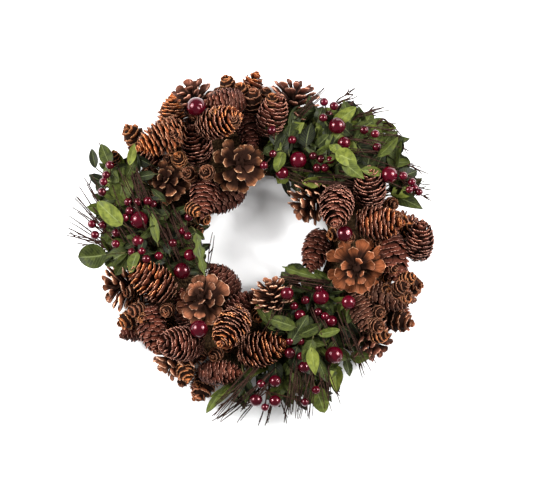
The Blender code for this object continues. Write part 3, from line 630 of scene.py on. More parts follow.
# A leaf's colours by its tone, from the darkest to the palest.
LEAF_TONES = (
    (0.0, (0.003, 0.004, 0.0015)), (0.3, (0.016, 0.021, 0.004)), (0.55, (0.057, 0.071, 0.010)),
    (0.8, (0.15, 0.170, 0.027)), (1.0, (0.30, 0.325, 0.085)),
)


def leaf_group():
    """A leaf's finish: a colour by its tone, mottled, with a pale rib and fine side veins."""
    group = FinishGroup("Leaf", ("Rib",), ("Veins",))
    tree, given = group.tree, group.given
    tone = own_tone(tree)
    uv, aside, along = on_blade(tree)
    noise = streaks(tree, uv, 3, 5, tone)
    mottled = maths(tree, "ADD", tone, from_noise(tree, noise, -0.10, 0.10))
    shade = add(tree, "ShaderNodeValToRGB", {0: mottled})
    stops = shade.color_ramp.elements
    for place, _ in LEAF_TONES[1:-1]:
        stops.new(place)
    for stop, (_, colour) in zip(stops, LEAF_TONES):
        stop.color = opaque(colour)
    slant = maths(tree, "ADD", times(tree, along, given["Veins"]), times(tree, aside, -5.0))
    wave = maths(tree, "SINE", times(tree, slant, 2 * math.pi))
    rib = times(tree, ramp(tree, aside, 0.045, 0.0), 0.35)
    veins = times(tree, ramp(tree, wave, 0.75, 1.0), ramp(tree, aside, 0.5, 0.3))
    marks = maths(tree, "MAXIMUM", rib, times(tree, veins, 0.10))
    colour = blend(tree, marks, shade.outputs[0], given["Rib"])
    height = maths(tree, "ADD", marks, times(tree, noise, 0.6))
    return group.put_out(colour, from_noise(tree, noise, 0.5, 0.7), height)


def fibre_group():
    """Bark, straw or twine: mottled between a dark and a light colour by a fine noise."""
    group = FinishGroup("Fibre", ("Dark", "Light"), ("Grain",))
    tree, given = group.tree, group.given
    noise = add(tree, "ShaderNodeTexNoise", {
        "Vector": add(tree, "ShaderNodeTexCoord").outputs["Object"], "Scale": given["Grain"],
        "Detail": 3.0,
    }).outputs[0]
    colour = blend(tree, from_noise(tree, noise), given["Dark"], given["Light"])
    return group.put_out(colour, from_noise(tree, noise, 0.85, 0.65), noise)


GROUPS = {}


def shared_group(kind):
    """One of the shader groups, built the first time that it is asked for."""
    if kind not in GROUPS:
        GROUPS[kind] = {"scale": scale_group, "leaf": leaf_group, "fibre": fibre_group}[kind]()
    return GROUPS[kind]


def new_material(name):
    """A material with nodes, and its shader."""
    material = bpy.data.materials.new(name)
    material.use_nodes = True
    return material, material.node_tree.nodes["Principled BSDF"]


def fill_in(node, values):
    """Sets a node's inputs, which are numbers or colours without an alpha."""
    for key, value in values.items():
        plain = isinstance(value, (int, float))
        node.inputs[key].default_value = value if plain else opaque(value)


def finish(name, kind, values, bump, gloss):
    """A material whose colour, roughness and relief come from a shared group."""
    material, shader = new_material(name)
    tree = material.node_tree
    group = add(tree, "ShaderNodeGroup", node_tree=shared_group(kind))
    fill_in(group, values)
    relief = add(tree, "ShaderNodeBump", {
        "Height": group.outputs["Height"], "Strength": bump, "Distance": 0.4 * MM,
    })
    tree.links.new(group.outputs["Color"], shader.inputs["Base Color"])
    tree.links.new(group.outputs["Roughness"], shader.inputs["Roughness"])
    tree.links.new(relief.outputs[0], shader.inputs["Normal"])
    fill_in(shader, {"Specular IOR Level": gloss})
    return material, shader


def fibre_finish(name, dark, light, bump, grain=700.0):
    """The finish of straw, twine or bark."""
    return finish(name, "fibre", {"Dark": dark, "Light": light, "Grain": grain}, bump, 0.05)[0]


def scale_finish(name, colours, face_start, rim_start):
    """A cone's finish from the colours of its scales' roots (painted shade), faces and rims (partly
    painted highlight), and its tip's tint.
    """
    values = dict(zip(("Shaded Root", "Face", "Rim", "Tip"), colours))
    values.update({"Face Start": face_start, "Rim Start": rim_start})
    material, shader = finish(name, "scale", values, 0.5, 0.18)
    fill_in(shader, {"Specular Tint": (1.0, 0.60, 0.42)})
    return material


def berry_finish(name, colour, calyx):
    """Clear lacquer over deep red, with a dark calyx at the top of each berry."""
    material, shader = new_material(name)
    tree = material.node_tree
    place = add(tree, "ShaderNodeTexCoord").outputs["Object"]
    noise = add(tree, "ShaderNodeTexNoise", {
        "Vector": place, "Scale": 260.0, "Detail": 2.0,
    }).outputs[0]
    tone = ramp(tree, own_tone(tree), 0, 1, 0.6, 1.3)
    value = times(tree, from_noise(tree, noise, 0.7, 1.2), tone)
    red = add(tree, "ShaderNodeHueSaturation", {"Value": value, "Color": opaque(colour)}).outputs[0]
    uv = add(tree, "ShaderNodeUVMap").outputs[0]
    height = add(tree, "ShaderNodeSeparateXYZ", {0: uv}).outputs[1]
    mixed = blend(tree, ramp(tree, height, 0.955, 0.975), red, opaque(calyx))
    tree.links.new(mixed, shader.inputs["Base Color"])
    fill_in(shader, {
        "Roughness": 0.24, "Specular IOR Level": 0.3, "Specular Tint": (1.0, 0.04, 0.10),
        "Coat Weight": 0.6, "Coat Roughness": 0.02, "Coat IOR": 1.45,
    })
    return material


def girth(along):
    """A closed cone's half width at a share of its length, as a share of its widest."""
    along = np.clip(along, 0, 1)
    return np.sin(math.pi * (0.10 + 0.86 * along ** 0.86)) ** 0.62


class Cone:
    """Where a cone lies: its stalk end, the way to its tip, its length and half width."""

    def __init__(self, stalk, axis, length, radius):
        self.stalk, self.axis = np.array(stalk), np.array(axis)
        self.length, self.radius = length, radius
        side = Vector(axis).orthogonal().normalized()
        self.side = np.array(side)
        self.other = np.cross(self.axis, self.side)

    def radial(self, turns):
        """The ways out from the axis at some turns round it."""
        return np.cos(turns)[:, None] * self.side + np.sin(turns)[:, None] * self.other


def find_cone(node):
    """A cone from its CAD node: its axis is the way in which its spread differs most."""
    points = node_points(node)
    middle = points.mean(axis=0)
    spread = points - middle
    values, ways = np.linalg.eigh(spread.T @ spread)
    axis = ways[:, 2] if values[2] - values[1] > values[1] - values[0] else ways[:, 0]
    along = spread @ axis
    out = np.linalg.norm(spread - np.outer(along, axis), axis=1)
    low, high = np.quantile(along, (0.25, 0.75))
    if out[along > high].mean() > out[along < low].mean():
        axis, along = -axis, -along
    return Cone(middle + axis * along.min(), axis, along.max() - along.min(), out.max())


def set_scales(cone, turns, lips, leans, sizes, twists=0.0):
    """The places of a cone's scales.

    Lips are how far each is along the axis and out from it, leans turn each out from the axis,
    sizes are its width, length and thickness, and twists turn it about its own length.
    """
    radial = cone.radial(turns)
    points = cone.stalk + lips[:, :1] * cone.axis + lips[:, 1:] * radial
    sine, cosine = np.sin(leans)[:, None], np.cos(leans)[:, None]
    along = cosine * cone.axis + sine * radial
    out = cosine * radial - sine * cone.axis
    across = np.cross(along, out)
    twists = np.broadcast_to(twists, len(turns))[:, None]
    sine, cosine = np.sin(twists), np.cos(twists)
    across, out = cosine * across + sine * out, cosine * out - sine * across
    places = np.zeros((len(turns), 4, 4))
    places[:, :3, 0] = across * sizes[:, :1]
    places[:, :3, 1] = along * sizes[:, 1:2]
    places[:, :3, 2] = out * sizes[:, 2:]
    places[:, :3, 3] = points
    places[:, 3, 3] = 1
    return places


CORE_MIDDLE, CORE_HALF = 0.43, 0.40     # a cone's core, as shares of the cone's length


def core_place(cone, girth_share):
    """The place of the spindle inside a cone."""
    turn = np.eye(4)
    turn[:3, 0] = cone.side * cone.radius * girth_share
    turn[:3, 1] = cone.other * cone.radius * girth_share
    turn[:3, 2] = cone.axis * cone.length * CORE_HALF
    turn[:3, 3] = cone.stalk + cone.axis * cone.length * CORE_MIDDLE
    return [turn]


def scales_evenly(count, size):
    """Places along a closed cone such that its scales cover it evenly."""
    along = np.linspace(0.02, 1.0, 200)
    crowd = girth(along) / size(along) ** 2
    total = crowd.cumsum()
    return np.interp((np.arange(count) + 0.5) / count * total[-1], total, along)


def scatter(chance, middle, spread, count):
    """Random values round a middle."""
    return np.array([chance.gauss(middle, spread) for _ in range(count)])


# A closed cone's tip: from here its scales lie scattered, and from here they close over it.
TIP_SCATTER, TIP_CLOSING, CLOSING_LENGTH = 0.88, 0.84, 0.16
# How far its scales lean out from its axis, in radians, at shares of its length.
LEAN_ALONG, LEANS = (0.0, 0.2, 0.6, 0.85, 1.0), (1.05, 0.56, 0.34, 0.18, -0.25)


def spruce_parts(cone, scale, core, count, a_round, flare, reach_back, inside, chance):
    """A closed cone: scales that lap towards the tip, and close over it.

    They wind round it in a slow spiral. Each reaches back by a share of the cone's length, to a
    core of a share of its girth.
    """

    def size(along):
        return 0.55 + 0.45 * girth(along) ** 1.5

    along = scales_evenly(count, size)
    turns = np.where(along < TIP_SCATTER, 2 * math.pi / a_round, GOLDEN_TURN).cumsum()
    turns += chance.uniform(0, 6)
    turns += scatter(chance, 0, 0.09, count)
    along = np.clip(along + scatter(chance, 0, 0.014, count), 0, 1)
    close = np.clip((along - TIP_CLOSING) / CLOSING_LENGTH, 0, 1)
    reach = cone.radius * girth(along) * (1 - 0.85 * close ** 1.4)
    lips = np.stack([along * cone.length, reach], axis=1)
    leans = np.interp(along, LEAN_ALONG, LEANS) + flare
    leans += scatter(chance, 0, 0.10, count)
    grown = size(along) * scatter(chance, 1, 0.08, count)
    wide, long = cone.radius * 6.9 / a_round * grown, cone.length * reach_back * grown
    tones = np.clip(0.15 + 0.70 * along + scatter(chance, 0, 0.22, count), 0, 1)
    scales = set_scales(cone, turns, lips, leans, np.stack([wide, long, wide], axis=1))
    return [(scale, scales, tones), (core, core_place(cone, inside), [0.2])]


# An open cone's scales, from the stalk to the tip: how far along the length their roots and tips
# are, and how far out by the width the tips reach.
OPEN_ALONG = (0.0, 0.25, 0.50, 0.75, 0.9, 1.0)
OPEN_ROOTS = (0.04, 0.12, 0.28, 0.46, 0.60, 0.70)
BROAD_TIPS = (0.05, 0.20, 0.44, 0.68, 0.84, 0.92)
NARROW_TIPS = (0.10, 0.32, 0.58, 0.84, 0.98, 1.02)
BROAD_REACH = (0.46, 0.50, 0.43, 0.30, 0.20, 0.10)
NARROW_REACH = (0.49, 0.56, 0.56, 0.47, 0.33, 0.12)
OPEN_CORE = 0.07        # the core's half width, as a share of the cone's width


def pine_parts(cone, scale, core, count, broad, chance):
    """An open cone: woody scales that stand out all round, smaller towards the tip."""
    along = (np.arange(count) + 0.5) / count
    turns = np.arange(count) * GOLDEN_TURN + chance.uniform(0, 6)
    turns += scatter(chance, 0, 0.10, count)
    width = cone.radius * 2
    share = scatter(chance, 1, 0.06, count)
    tips = np.interp(along, OPEN_ALONG, BROAD_TIPS if broad else NARROW_TIPS) * cone.length
    roots = np.interp(along, OPEN_ALONG, OPEN_ROOTS) * cone.length
    reach = np.interp(along, OPEN_ALONG, BROAD_REACH if broad else NARROW_REACH) * width * share
    rise, run = tips - roots, reach - width * OPEN_CORE * 0.5
    lengths = np.hypot(rise, run)
    lips = np.stack([tips, reach], axis=1)
    wide = (0.08 if broad else 0.06) * width + (0.34 if broad else 0.30) * lengths
    wide *= scatter(chance, 1, 0.12, count)
    thick = 0.06 * width + 0.4 * lengths
    twists = scatter(chance, 0, 0.18, count)
    sizes = np.stack([wide, lengths, thick], axis=1)
    scales = set_scales(cone, turns, lips, np.arctan2(run, rise), sizes, twists)
    tones = [chance.random() for _ in range(count)]
    return [(scale, scales, tones), (core, core_place(cone, OPEN_CORE * 2), [0.2])]


def colour_setting(name, description, default):
    return bpy.props.FloatVectorProperty(
        name=name, description=description, subtype="COLOR", default=default, min=0, max=1)


def count_setting(name, description, default, least=12, most=80):
    return bpy.props.IntProperty(
        name=name, description=description, default=default, min=least, max=most)


class StrawSettings(bpy.types.PropertyGroup):
    straws: count_setting("Straws", "Loose straws that lie along the ring", 460, 0, 2000)
    wraps: count_setting("Twine Wraps", "Turns of twine round the straw", 44, 0, 200)
    # Both straw colours are kept far darker than straw: painted shade, since the straw shows only
    # deep in the gaps between the cones. Between the two, the tone varies at random.
    dark: colour_setting("Dark Straw", "Straw in its shaded folds", (0.012, 0.006, 0.003))
    light: colour_setting("Light Straw", "Straw where it is bleached", (0.07, 0.040, 0.018))


class ConeSettings(bpy.types.PropertyGroup):
    spruce_scales: count_setting("Spruce Scales", "Scales on one closed cone", 146, 30, 200)
    broad_scales: count_setting("Broad Scales", "Scales on an open cone that has broad ones", 24)
    narrow_scales: count_setting("Narrow Scales", "Scales on the other open cones", 46)
    small_scales: count_setting("Small Cone Scales", "Scales on one small cone", 40)
    scales_round: bpy.props.FloatProperty(
        name="Scales Round", description="Scales in one turn round a closed cone", default=12.5,
        min=4, max=20)
    flare: bpy.props.FloatProperty(
        name="Flare", description="How far closed scales stand off", subtype="ANGLE", default=0.02)
    # Scale Root is painted shade: the colour deep between the scales, where their roots lie in
    # shade.
    root: colour_setting("Scale Root", "Colour deep between scales", (0.010, 0.003, 0.002))
    face: colour_setting("Scale Face", "Colour of a scale's face", (0.052, 0.013, 0.008))
    # Scale Rim is partly the scale's own paler edge, partly painted highlight.
    rim: colour_setting("Scale Rim", "Colour of a scale's thin rim", (0.74, 0.36, 0.27))


class BerrySettings(bpy.types.PropertyGroup):
    colour: colour_setting("Berry", "Colour under the lacquer", (0.042, 0.0001, 0.004))
    stem_radius: bpy.props.FloatProperty(
        name="Stem Radius", description="Half the thickness of a berry's wire stem, in millimetres",
        default=0.6, min=0.2)


class LeafSettings(bpy.types.PropertyGroup):
    curl: bpy.props.FloatProperty(
        name="Curl", description="How far leaves' tips bend down, as a share of their length",
        default=0.20)
    density: bpy.props.FloatProperty(
        name="Density", description="Leaves in the thickets, as a share of the full number",
        default=1.0, min=0, max=2)
    wave: bpy.props.FloatProperty(
        name="Wave", description="How much leaves' edges wave, as a share of their width",
        default=0.10)
    rib: colour_setting("Rib", "Colour of the middle rib", (0.26, 0.30, 0.12))


class TwigSettings(bpy.types.PropertyGroup):
    radius: bpy.props.FloatProperty(
        name="Twig Radius", description="Half the thickness of a twig, in millimetres",
        default=0.75, min=0.2)
    dark: colour_setting("Dark Bark", "Bark in its cracks", (0.008, 0.004, 0.003))
    light: colour_setting("Light Bark", "Bark on its ridges", (0.050, 0.024, 0.017))


class StageSettings(bpy.types.PropertyGroup):
    floor: colour_setting("Floor", "Colour of the pale floor", (0.93, 0.93, 0.93))
    side_power: bpy.props.FloatProperty(
        name="Side Lights", description="Power of each soft light at the sides", unit="POWER",
        default=34.0, min=0)
    spark_power: bpy.props.FloatProperty(
        name="Small Lights", description="Power of the small light in each soft one", unit="POWER",
        default=11.0, min=0)
    fill: bpy.props.FloatProperty(
        name="Fill", description="Strength of the light from all round", default=0.40, min=0)


class WREATH_OT_straw_ring(bpy.types.Operator):
    """Model the straw ring, wound with twine"""

    bl_idname = "wreath.straw_ring"
    bl_label = "Straw Ring"
    bl_options = {"REGISTER", "UNDO"}

    # The section, as distances out from its middle line and heights, and that line's radius.
    SECTION = (
        (-22, 0), (0, 0), (22, 0), (31, 5), (31, 14), (21, 20.5), (0, 21.5), (-18, 20.5), (-28, 14),
        (-29, 6),
    )
    MIDDLE = 98
    BACK = 0.1                          # how high its flat back lies
    SPIN_STEPS = 150
    STRAW_LEAST, TWINE_LEAST = 1.1, 0.8     # least heights of their middle lines
    STRAW_SHARES = (0.22, 0.98)         # where straws lie round the section: not on its flat back
    STRAW_STEPS, TWINE_STEPS = 4, 12    # in a straw, and in a wrap of twine
    TWINE_RADIUS = 0.7

    def execute(self, context):
        settings = context.scene.wreath_straw
        straw = fibre_finish("straw", settings.dark, settings.light, 0.8, 420.0)
        twine = fibre_finish("twine", (0.015, 0.008, 0.004), (0.07, 0.042, 0.022), 0.6, 900.0)
        hand_over(self.model_ring(), "straw", straw, "base_ring")
        paths = self.straws(settings.straws, random.Random(SEED))
        hand_over(draw_stems("base_ring_straws", paths, 4), "straw", straw, "base_ring")
        wraps = draw_stems("base_ring_twine", [self.winding(settings.wraps)])
        hand_over(wraps, "straw", twine, "base_ring")
        return {"FINISHED"}

    def model_ring(self):
        """The ring's body, spun round from its flat-backed section."""
        deselect()
        bpy.ops.mesh.primitive_circle_add(vertices=len(self.SECTION), radius=1)
        ring = bpy.context.object
        ring.name = "base_ring_body"
        bpy.ops.object.mode_set(mode="EDIT")
        shape = bmesh.from_edit_mesh(ring.data)
        shape.verts.ensure_lookup_table()
        for vertex, (out, height) in zip(shape.verts, self.SECTION):
            vertex.co = spot(self.MIDDLE + out, 0, height + self.BACK)
        bmesh.update_edit_mesh(ring.data)
        bpy.ops.mesh.select_all(action="SELECT")
        bpy.ops.mesh.spin(
            steps=self.SPIN_STEPS, angle=2 * math.pi, center=RING, axis=(0, 0, 1))
        bpy.ops.mesh.select_all(action="SELECT")
        bpy.ops.mesh.remove_doubles(threshold=0.05 * MM)
        bpy.ops.mesh.normals_make_consistent(inside=False)
        bpy.ops.object.mode_set(mode="OBJECT")
        smooth(ring, 60)
        return ring

    def surface(self, turn, share, least):
        """A point on the ring: a turn round it, a share of its section's way, a least height."""
        size = len(self.SECTION)
        at = share * size
        first, second = self.SECTION[int(at) % size], self.SECTION[(int(at) + 1) % size]
        out = first[0] + (second[0] - first[0]) * (at % 1)
        height = first[1] + (second[1] - first[1]) * (at % 1)
        radius = self.MIDDLE + out
        return spot(radius * math.cos(turn), radius * math.sin(turn), max(height, least))

    def straws(self, count, chance):
        """Straws laid on the surface, each a little off the ring's own direction."""
        steps, least = self.STRAW_STEPS, self.STRAW_LEAST
        paths = []
        for _ in range(count):
            turn, share = chance.uniform(0, 2 * math.pi), chance.uniform(*self.STRAW_SHARES)
            span, drift = chance.uniform(0.2, 0.6), chance.uniform(-0.05, 0.05)
            points = [
                self.surface(turn + span * i / steps, (share + drift * i / steps) % 1, least)
                for i in range(steps + 1)
            ]
            paths.append((points, [chance.uniform(0.5, 1.0)] * len(points)))
        return paths

    def winding(self, wraps):
        """The twine, once round the section for each wrap."""
        steps = wraps * self.TWINE_STEPS
        points = [
            self.surface(2 * math.pi * i / steps, (i / self.TWINE_STEPS) % 1, self.TWINE_LEAST)
            for i in range(steps + 1)
        ]
        return points, [self.TWINE_RADIUS] * len(points)


def kind_of(node, kinds, plain):
    """A cone's kind by its number, which ends its node's name."""
    number = int(node[-2:])
    return next((kind for kind, numbers in kinds.items() if number in numbers), plain)


class WREATH_OT_spruce_cones(bpy.types.Operator):
    """Model the closed cones, scale by scale"""

    bl_idname = "wreath.spruce_cones"
    bl_label = "Closed Cones"
    bl_options = {"REGISTER", "UNDO"}

    REACH_BACK, INSIDE = 0.19, 0.60
    MORE_FLARE = {"orange": 0.32, "golden": 0.45}     # the warmer cones' scales stand off more
    FACE_START, RIM_START = 0.12, 0.87
    # The other kinds' faces, rims and tints of their tips. The rims are partly painted highlight,
    # and the faces start out of the roots' painted shade.
    KINDS = {
        "orange": ((0.075, 0.019, 0.010), (0.84, 0.42, 0.29), (1.5, 1.2, 0.65)),
        "golden": ((0.150, 0.044, 0.019), (0.86, 0.43, 0.25), (1.45, 1.15, 0.7)),
        "dark": ((0.036, 0.010, 0.007), (0.56, 0.27, 0.20), (1.1, 1.0, 1.0)),
        "grey": ((0.046, 0.016, 0.010), (0.62, 0.33, 0.23), (1.2, 1.1, 1.0)),
    }

    def execute(self, context):
        settings = context.scene.wreath_cones
        kinds = {"brown": (settings.face, settings.rim, (1.25, 1.2, 1.1)), **self.KINDS}
        finishes = {
            kind: scale_finish(
                f"spruce_{kind}", (settings.root, *colours), self.FACE_START, self.RIM_START)
            for kind, colours in kinds.items()
        }
        scale, core = spruce_scale(), model_core(10, 8)
        chance = random.Random(SEED)
        for node in nodes_of("spruce_cone"):
            kind = kind_of(node, SPRUCE_KINDS, "brown")
            flare = settings.flare + chance.uniform(0, 0.15) + self.MORE_FLARE.get(kind, 0)
            parts = spruce_parts(
                find_cone(node), scale, core, settings.spruce_scales, settings.scales_round, flare,
                self.REACH_BACK, self.INSIDE, chance,
            )
            hand_over(assemble(f"{node}_scales", parts), "spruce", finishes[kind], node)
        return {"FINISHED"}


def spruce_scale():
    """A thin rounded scale, lip at the origin, root at -1, face up."""
    return model_blade((
        (-1.0, 0.18, -0.10, -0.07), (-0.52, 0.42, -0.03, 0.00), (-0.30, 0.50, -0.015, 0.01),
        (-0.11, 0.38, -0.005, 0.02), (0.0, 0.13, 0.00, 0.015),
    ), columns=4, arch=0.10, setback=0.06)


def small_scale():
    """The small cones' plainer scale, of the same kind."""
    return model_blade((
        (-1.0, 0.18, -0.12, -0.07), (-0.45, 0.46, -0.04, 0.00),
        (-0.14, 0.42, -0.02, 0.02), (0.0, 0.15, 0.00, 0.015),
    ), columns=2, arch=0.12, setback=0.06)


class WREATH_OT_pine_cones(bpy.types.Operator):
    """Model the open cones with their broad woody scales"""

    bl_idname = "wreath.pine_cones"
    bl_label = "Open Cones"
    bl_options = {"REGISTER", "UNDO"}

    RIM_START = 0.86
    # Each kind's faces and rims, the rims partly painted highlight, and where its faces start out
    # of the root's painted shade.
    KINDS = {
        "tan": ((0.135, 0.050, 0.022), (0.74, 0.45, 0.26), 0.44),
        "pale": ((0.165, 0.058, 0.029), (0.74, 0.45, 0.30), 0.32),
        "bright": ((0.215, 0.064, 0.025), (0.76, 0.38, 0.22), 0.24),
        "dark": ((0.10, 0.032, 0.020), (0.50, 0.25, 0.17), 0.32),
    }
    # The root colour is painted shade deep in each open cone, at its scales' roots.
    ROOT, NO_TINT = (0.016, 0.006, 0.004), (1, 1, 1)

    def execute(self, context):
        settings = context.scene.wreath_cones
        finishes = {
            kind: scale_finish(
                f"pine_{kind}", (self.ROOT, face, rim, self.NO_TINT), face_start, self.RIM_START)
            for kind, (face, rim, face_start) in self.KINDS.items()
        }
        scale, core = pine_scale(), model_core(10, 8)
        chance = random.Random(SEED + 1)
        for node in nodes_of("pine_cone"):
            kind = kind_of(node, PINE_KINDS, "tan")
            broad = int(node[-2:]) in BROAD_PINE
            count = settings.broad_scales if broad else settings.narrow_scales
            parts = pine_parts(find_cone(node), scale, core, count, broad, chance)
            hand_over(assemble(f"{node}_scales", parts), "pine", finishes[kind], node)
        return {"FINISHED"}


def pine_scale():
    """A woody scale with a thick rounded lip, lip at the origin, root at -1, face up."""
    return model_blade((
        (-1.0, 0.16, -0.03, 0.02), (-0.62, 0.20, -0.01, 0.05), (-0.36, 0.34, 0.00, 0.07),
        (-0.19, 0.48, 0.01, 0.09), (-0.07, 0.40, 0.01, 0.08), (0.0, 0.19, 0.01, 0.05),
    ), columns=6, arch=0.10, setback=0.05)


WIRE = (0.012, 0.005, 0.004), (0.06, 0.026, 0.016)      # dark and light, of thin brown stems


class WREATH_OT_small_cones(bpy.types.Operator):
    """Model the small cones that stand in the gaps"""

    bl_idname = "wreath.small_cones"
    bl_label = "Small Cones"
    bl_options = {"REGISTER", "UNDO"}

    SCALES_ROUND, REACH_BACK, INSIDE = 8.5, 0.30, 0.78
    FACE_START, RIM_START = 0.15, 0.80
    # Each kind's faces, rims and tints of their tips. The rims are partly painted highlight, and
    # the faces start out of the roots' painted shade.
    KINDS = {
        "brown": ((0.13, 0.043, 0.020), (0.46, 0.24, 0.15), (1.2, 1.15, 1.1)),
        "orange": ((0.21, 0.070, 0.027), (0.62, 0.32, 0.17), (1.3, 1.2, 1.0)),
    }
    ORANGE_OF_FIVE = (1, 3)         # which ones of every five are orange
    LEAST_UNDER, RISE = 26, 5       # how high what they stand on is at least, and they over it
    STALK_INSIDE = 4                # how far a stalk reaches into its cone

    def execute(self, context):
        settings = context.scene.wreath_cones
        scale, core = small_scale(), model_core(8, 6)
        finishes = {
            kind: scale_finish(
                f"small_cone_{kind}", (settings.root, *colours), self.FACE_START, self.RIM_START)
            for kind, colours in self.KINDS.items()
        }
        bark = fibre_finish("small_cone_stalk", *WIRE, 0.4)
        chance = random.Random(SEED + 2)
        tips = [(spot(x, y, z), width) for x, y, z, width in SMALL_CONES + FILLING_CONES]
        for x, y, width in MORE_SMALL_CONES:
            place = spot(x, y)
            place.z = max(SOLIDS.top(place) or 0, self.LEAST_UNDER * MM) + self.RISE * MM
            tips.append((place, width))
        stalks = []
        for number, (tip, width) in enumerate(tips, 1):
            cone = self.stand(tip, width, chance)
            flare = settings.flare + chance.uniform(0.15, 0.4)
            parts = spruce_parts(
                cone, scale, core, settings.small_scales, self.SCALES_ROUND, flare,
                self.REACH_BACK, self.INSIDE, chance,
            )
            kind = "orange" if number % 5 in self.ORANGE_OF_FIVE else "brown"
            piece = assemble(f"small_cone_{number:02d}", parts)
            hand_over(piece, "spruce", finishes[kind], "base_ring")
            stalks.append(self.stalk(Vector(cone.stalk + cone.axis * self.STALK_INSIDE * MM)))
        hand_over(draw_stems("small_cone_stalks", stalks), "twig", bark, "base_ring")
        return {"FINISHED"}

    @staticmethod
    def stand(tip, width, chance):
        """A small cone, its tip at a place: upright, or leaning over the wreath's nearest edge."""
        far = math.hypot(tip.y - RING.y, tip.x - RING.x) / MM
        outwards = math.atan2(tip.y - RING.y, tip.x - RING.x) + chance.gauss(0, 0.4)
        if far < SMALL_CONE_EDGES[0]:
            outwards += math.pi
        upright = SMALL_CONE_EDGES[0] < far < SMALL_CONE_EDGES[1]
        tilt = (SMALL_CONE_TILT if upright else SMALL_CONE_LEAN) + chance.gauss(0, 0.08)
        axis = np.array((
            math.cos(outwards) * math.cos(tilt), math.sin(outwards) * math.cos(tilt), math.sin(tilt)
        ))
        length = SMALL_CONE_LENGTH * MM * width / SMALL_CONE_WIDTH
        return Cone(np.array(tip) - axis * length, axis, length, width / 2 * MM)

    @staticmethod
    def stalk(foot):
        """A stalk from a small cone's foot down into the ring."""
        return [foot, foot.lerp(into_ring(foot), 0.5), into_ring(foot)], [1.1, 1.0, 1.1]


class WREATH_OT_berries(bpy.types.Operator):
    """Model the lacquered berries on their wire stems"""

    bl_idname = "wreath.berries"
    bl_label = "Berries"
    bl_options = {"REGISTER", "UNDO"}

    OVER_LEAVES = 59        # the least height of the top of a berry with no solid of its own
    ON_SOLID = 30           # a solid berry's top is higher than this
    LARGE = 5               # a berry of a larger radius has more faces
    LONE_STEM = 14          # how far a lone berry's stem reaches below it

    def execute(self, context):
        settings = context.scene.wreath_berries
        large, small = self.model_berry(28, 18), self.model_berry(16, 10)
        lacquer = berry_finish("berry_lacquer", settings.colour, (0.03, 0.003, 0.005))
        bark = fibre_finish("berry_stem", *WIRE, 0.4)
        chance = random.Random(SEED + 3)
        for cluster in CLUSTERS:
            node = f"berry_{cluster}"
            relief = Relief([node])
            hubs = [spot(x, y, HUB_HEIGHT) for x, y in HUBS[cluster]]
            batches, paths = {large: [], small: []}, []
            for x, y, radius in BERRIES[cluster]:
                middle = self.hang(relief, x, y, radius)
                master = large if radius > self.LARGE else small
                batches[master].append(self.place(middle, radius, chance))
                hub = min(hubs, key=lambda hub: (hub - middle).length)
                paths.append(self.stem(hub, middle, settings.stem_radius))
            parts = [
                (master, places, [chance.random() for _ in places])
                for master, places in batches.items()
            ]
            hand_over(assemble(f"{node}_fruit", parts), "berry", lacquer, node)
            hand_over(draw_stems(f"{node}_stems", paths), "twig", bark, node)
        for number, (x, y, radius) in enumerate(LONE_BERRIES, 1):
            node = f"lone_berry_{number}"
            middle = self.hang(Relief([node]), x, y, radius)
            parts = [(large, [self.place(middle, radius, chance)], [chance.random()])]
            hand_over(assemble(f"{node}_fruit", parts), "berry", lacquer, node)
            foot = middle - Vector((0, 0, (radius + self.LONE_STEM) * MM))
            stem = draw_stems(f"{node}_stem", [self.stem(foot, middle, settings.stem_radius)])
            hand_over(stem, "twig", bark, node)
        return {"FINISHED"}

    @staticmethod
    def model_berry(segments, rings):
        """A berry of radius 1 with a small dimple at its top."""
        deselect()
        bpy.ops.mesh.primitive_uv_sphere_add(segments=segments, ring_count=rings, radius=1)
        berry = bpy.context.object
        bpy.ops.object.mode_set(mode="EDIT")
        shape = bmesh.from_edit_mesh(berry.data)
        pole = max(shape.verts, key=lambda vertex: vertex.co.z)
        choose(berry.data, [pole.index])
        bpy.ops.transform.translate(value=(0, 0, -0.12))
        bpy.ops.object.mode_set(mode="OBJECT")
        return Master.of(berry)

    def hang(self, relief, x, y, radius):
        """A berry's middle: as high as its solid, or else over what lies there and the leaves."""
        place = spot(x, y)
        top = relief.top(place)
        if top is None or top < self.ON_SOLID * MM:
            below = SOLIDS.top(place) or 0
            top = max(below + radius * 1.2 * MM, self.OVER_LEAVES * MM)
        place.z = top - radius * MM
        return place

    @staticmethod
    def place(middle, radius, chance):
        """A berry's place, its dimple tilted over to one side."""
        turn, axis = chance.uniform(0.5, 1.2), (chance.gauss(0, 1), chance.gauss(0, 1), 0.1)
        tilt = Matrix.Rotation(turn, 4, axis)
        return Matrix.Translation(middle) @ tilt @ Matrix.Scale(radius * MM, 4)

    @staticmethod
    def stem(hub, middle, radius):
        """A stem that leaves the hub upwards and bends over to the berry."""
        bend = hub.lerp(middle, 0.5) + Vector((0, 0, -4 * MM))
        return [hub, bend, middle], [radius * 1.2, radius, radius]


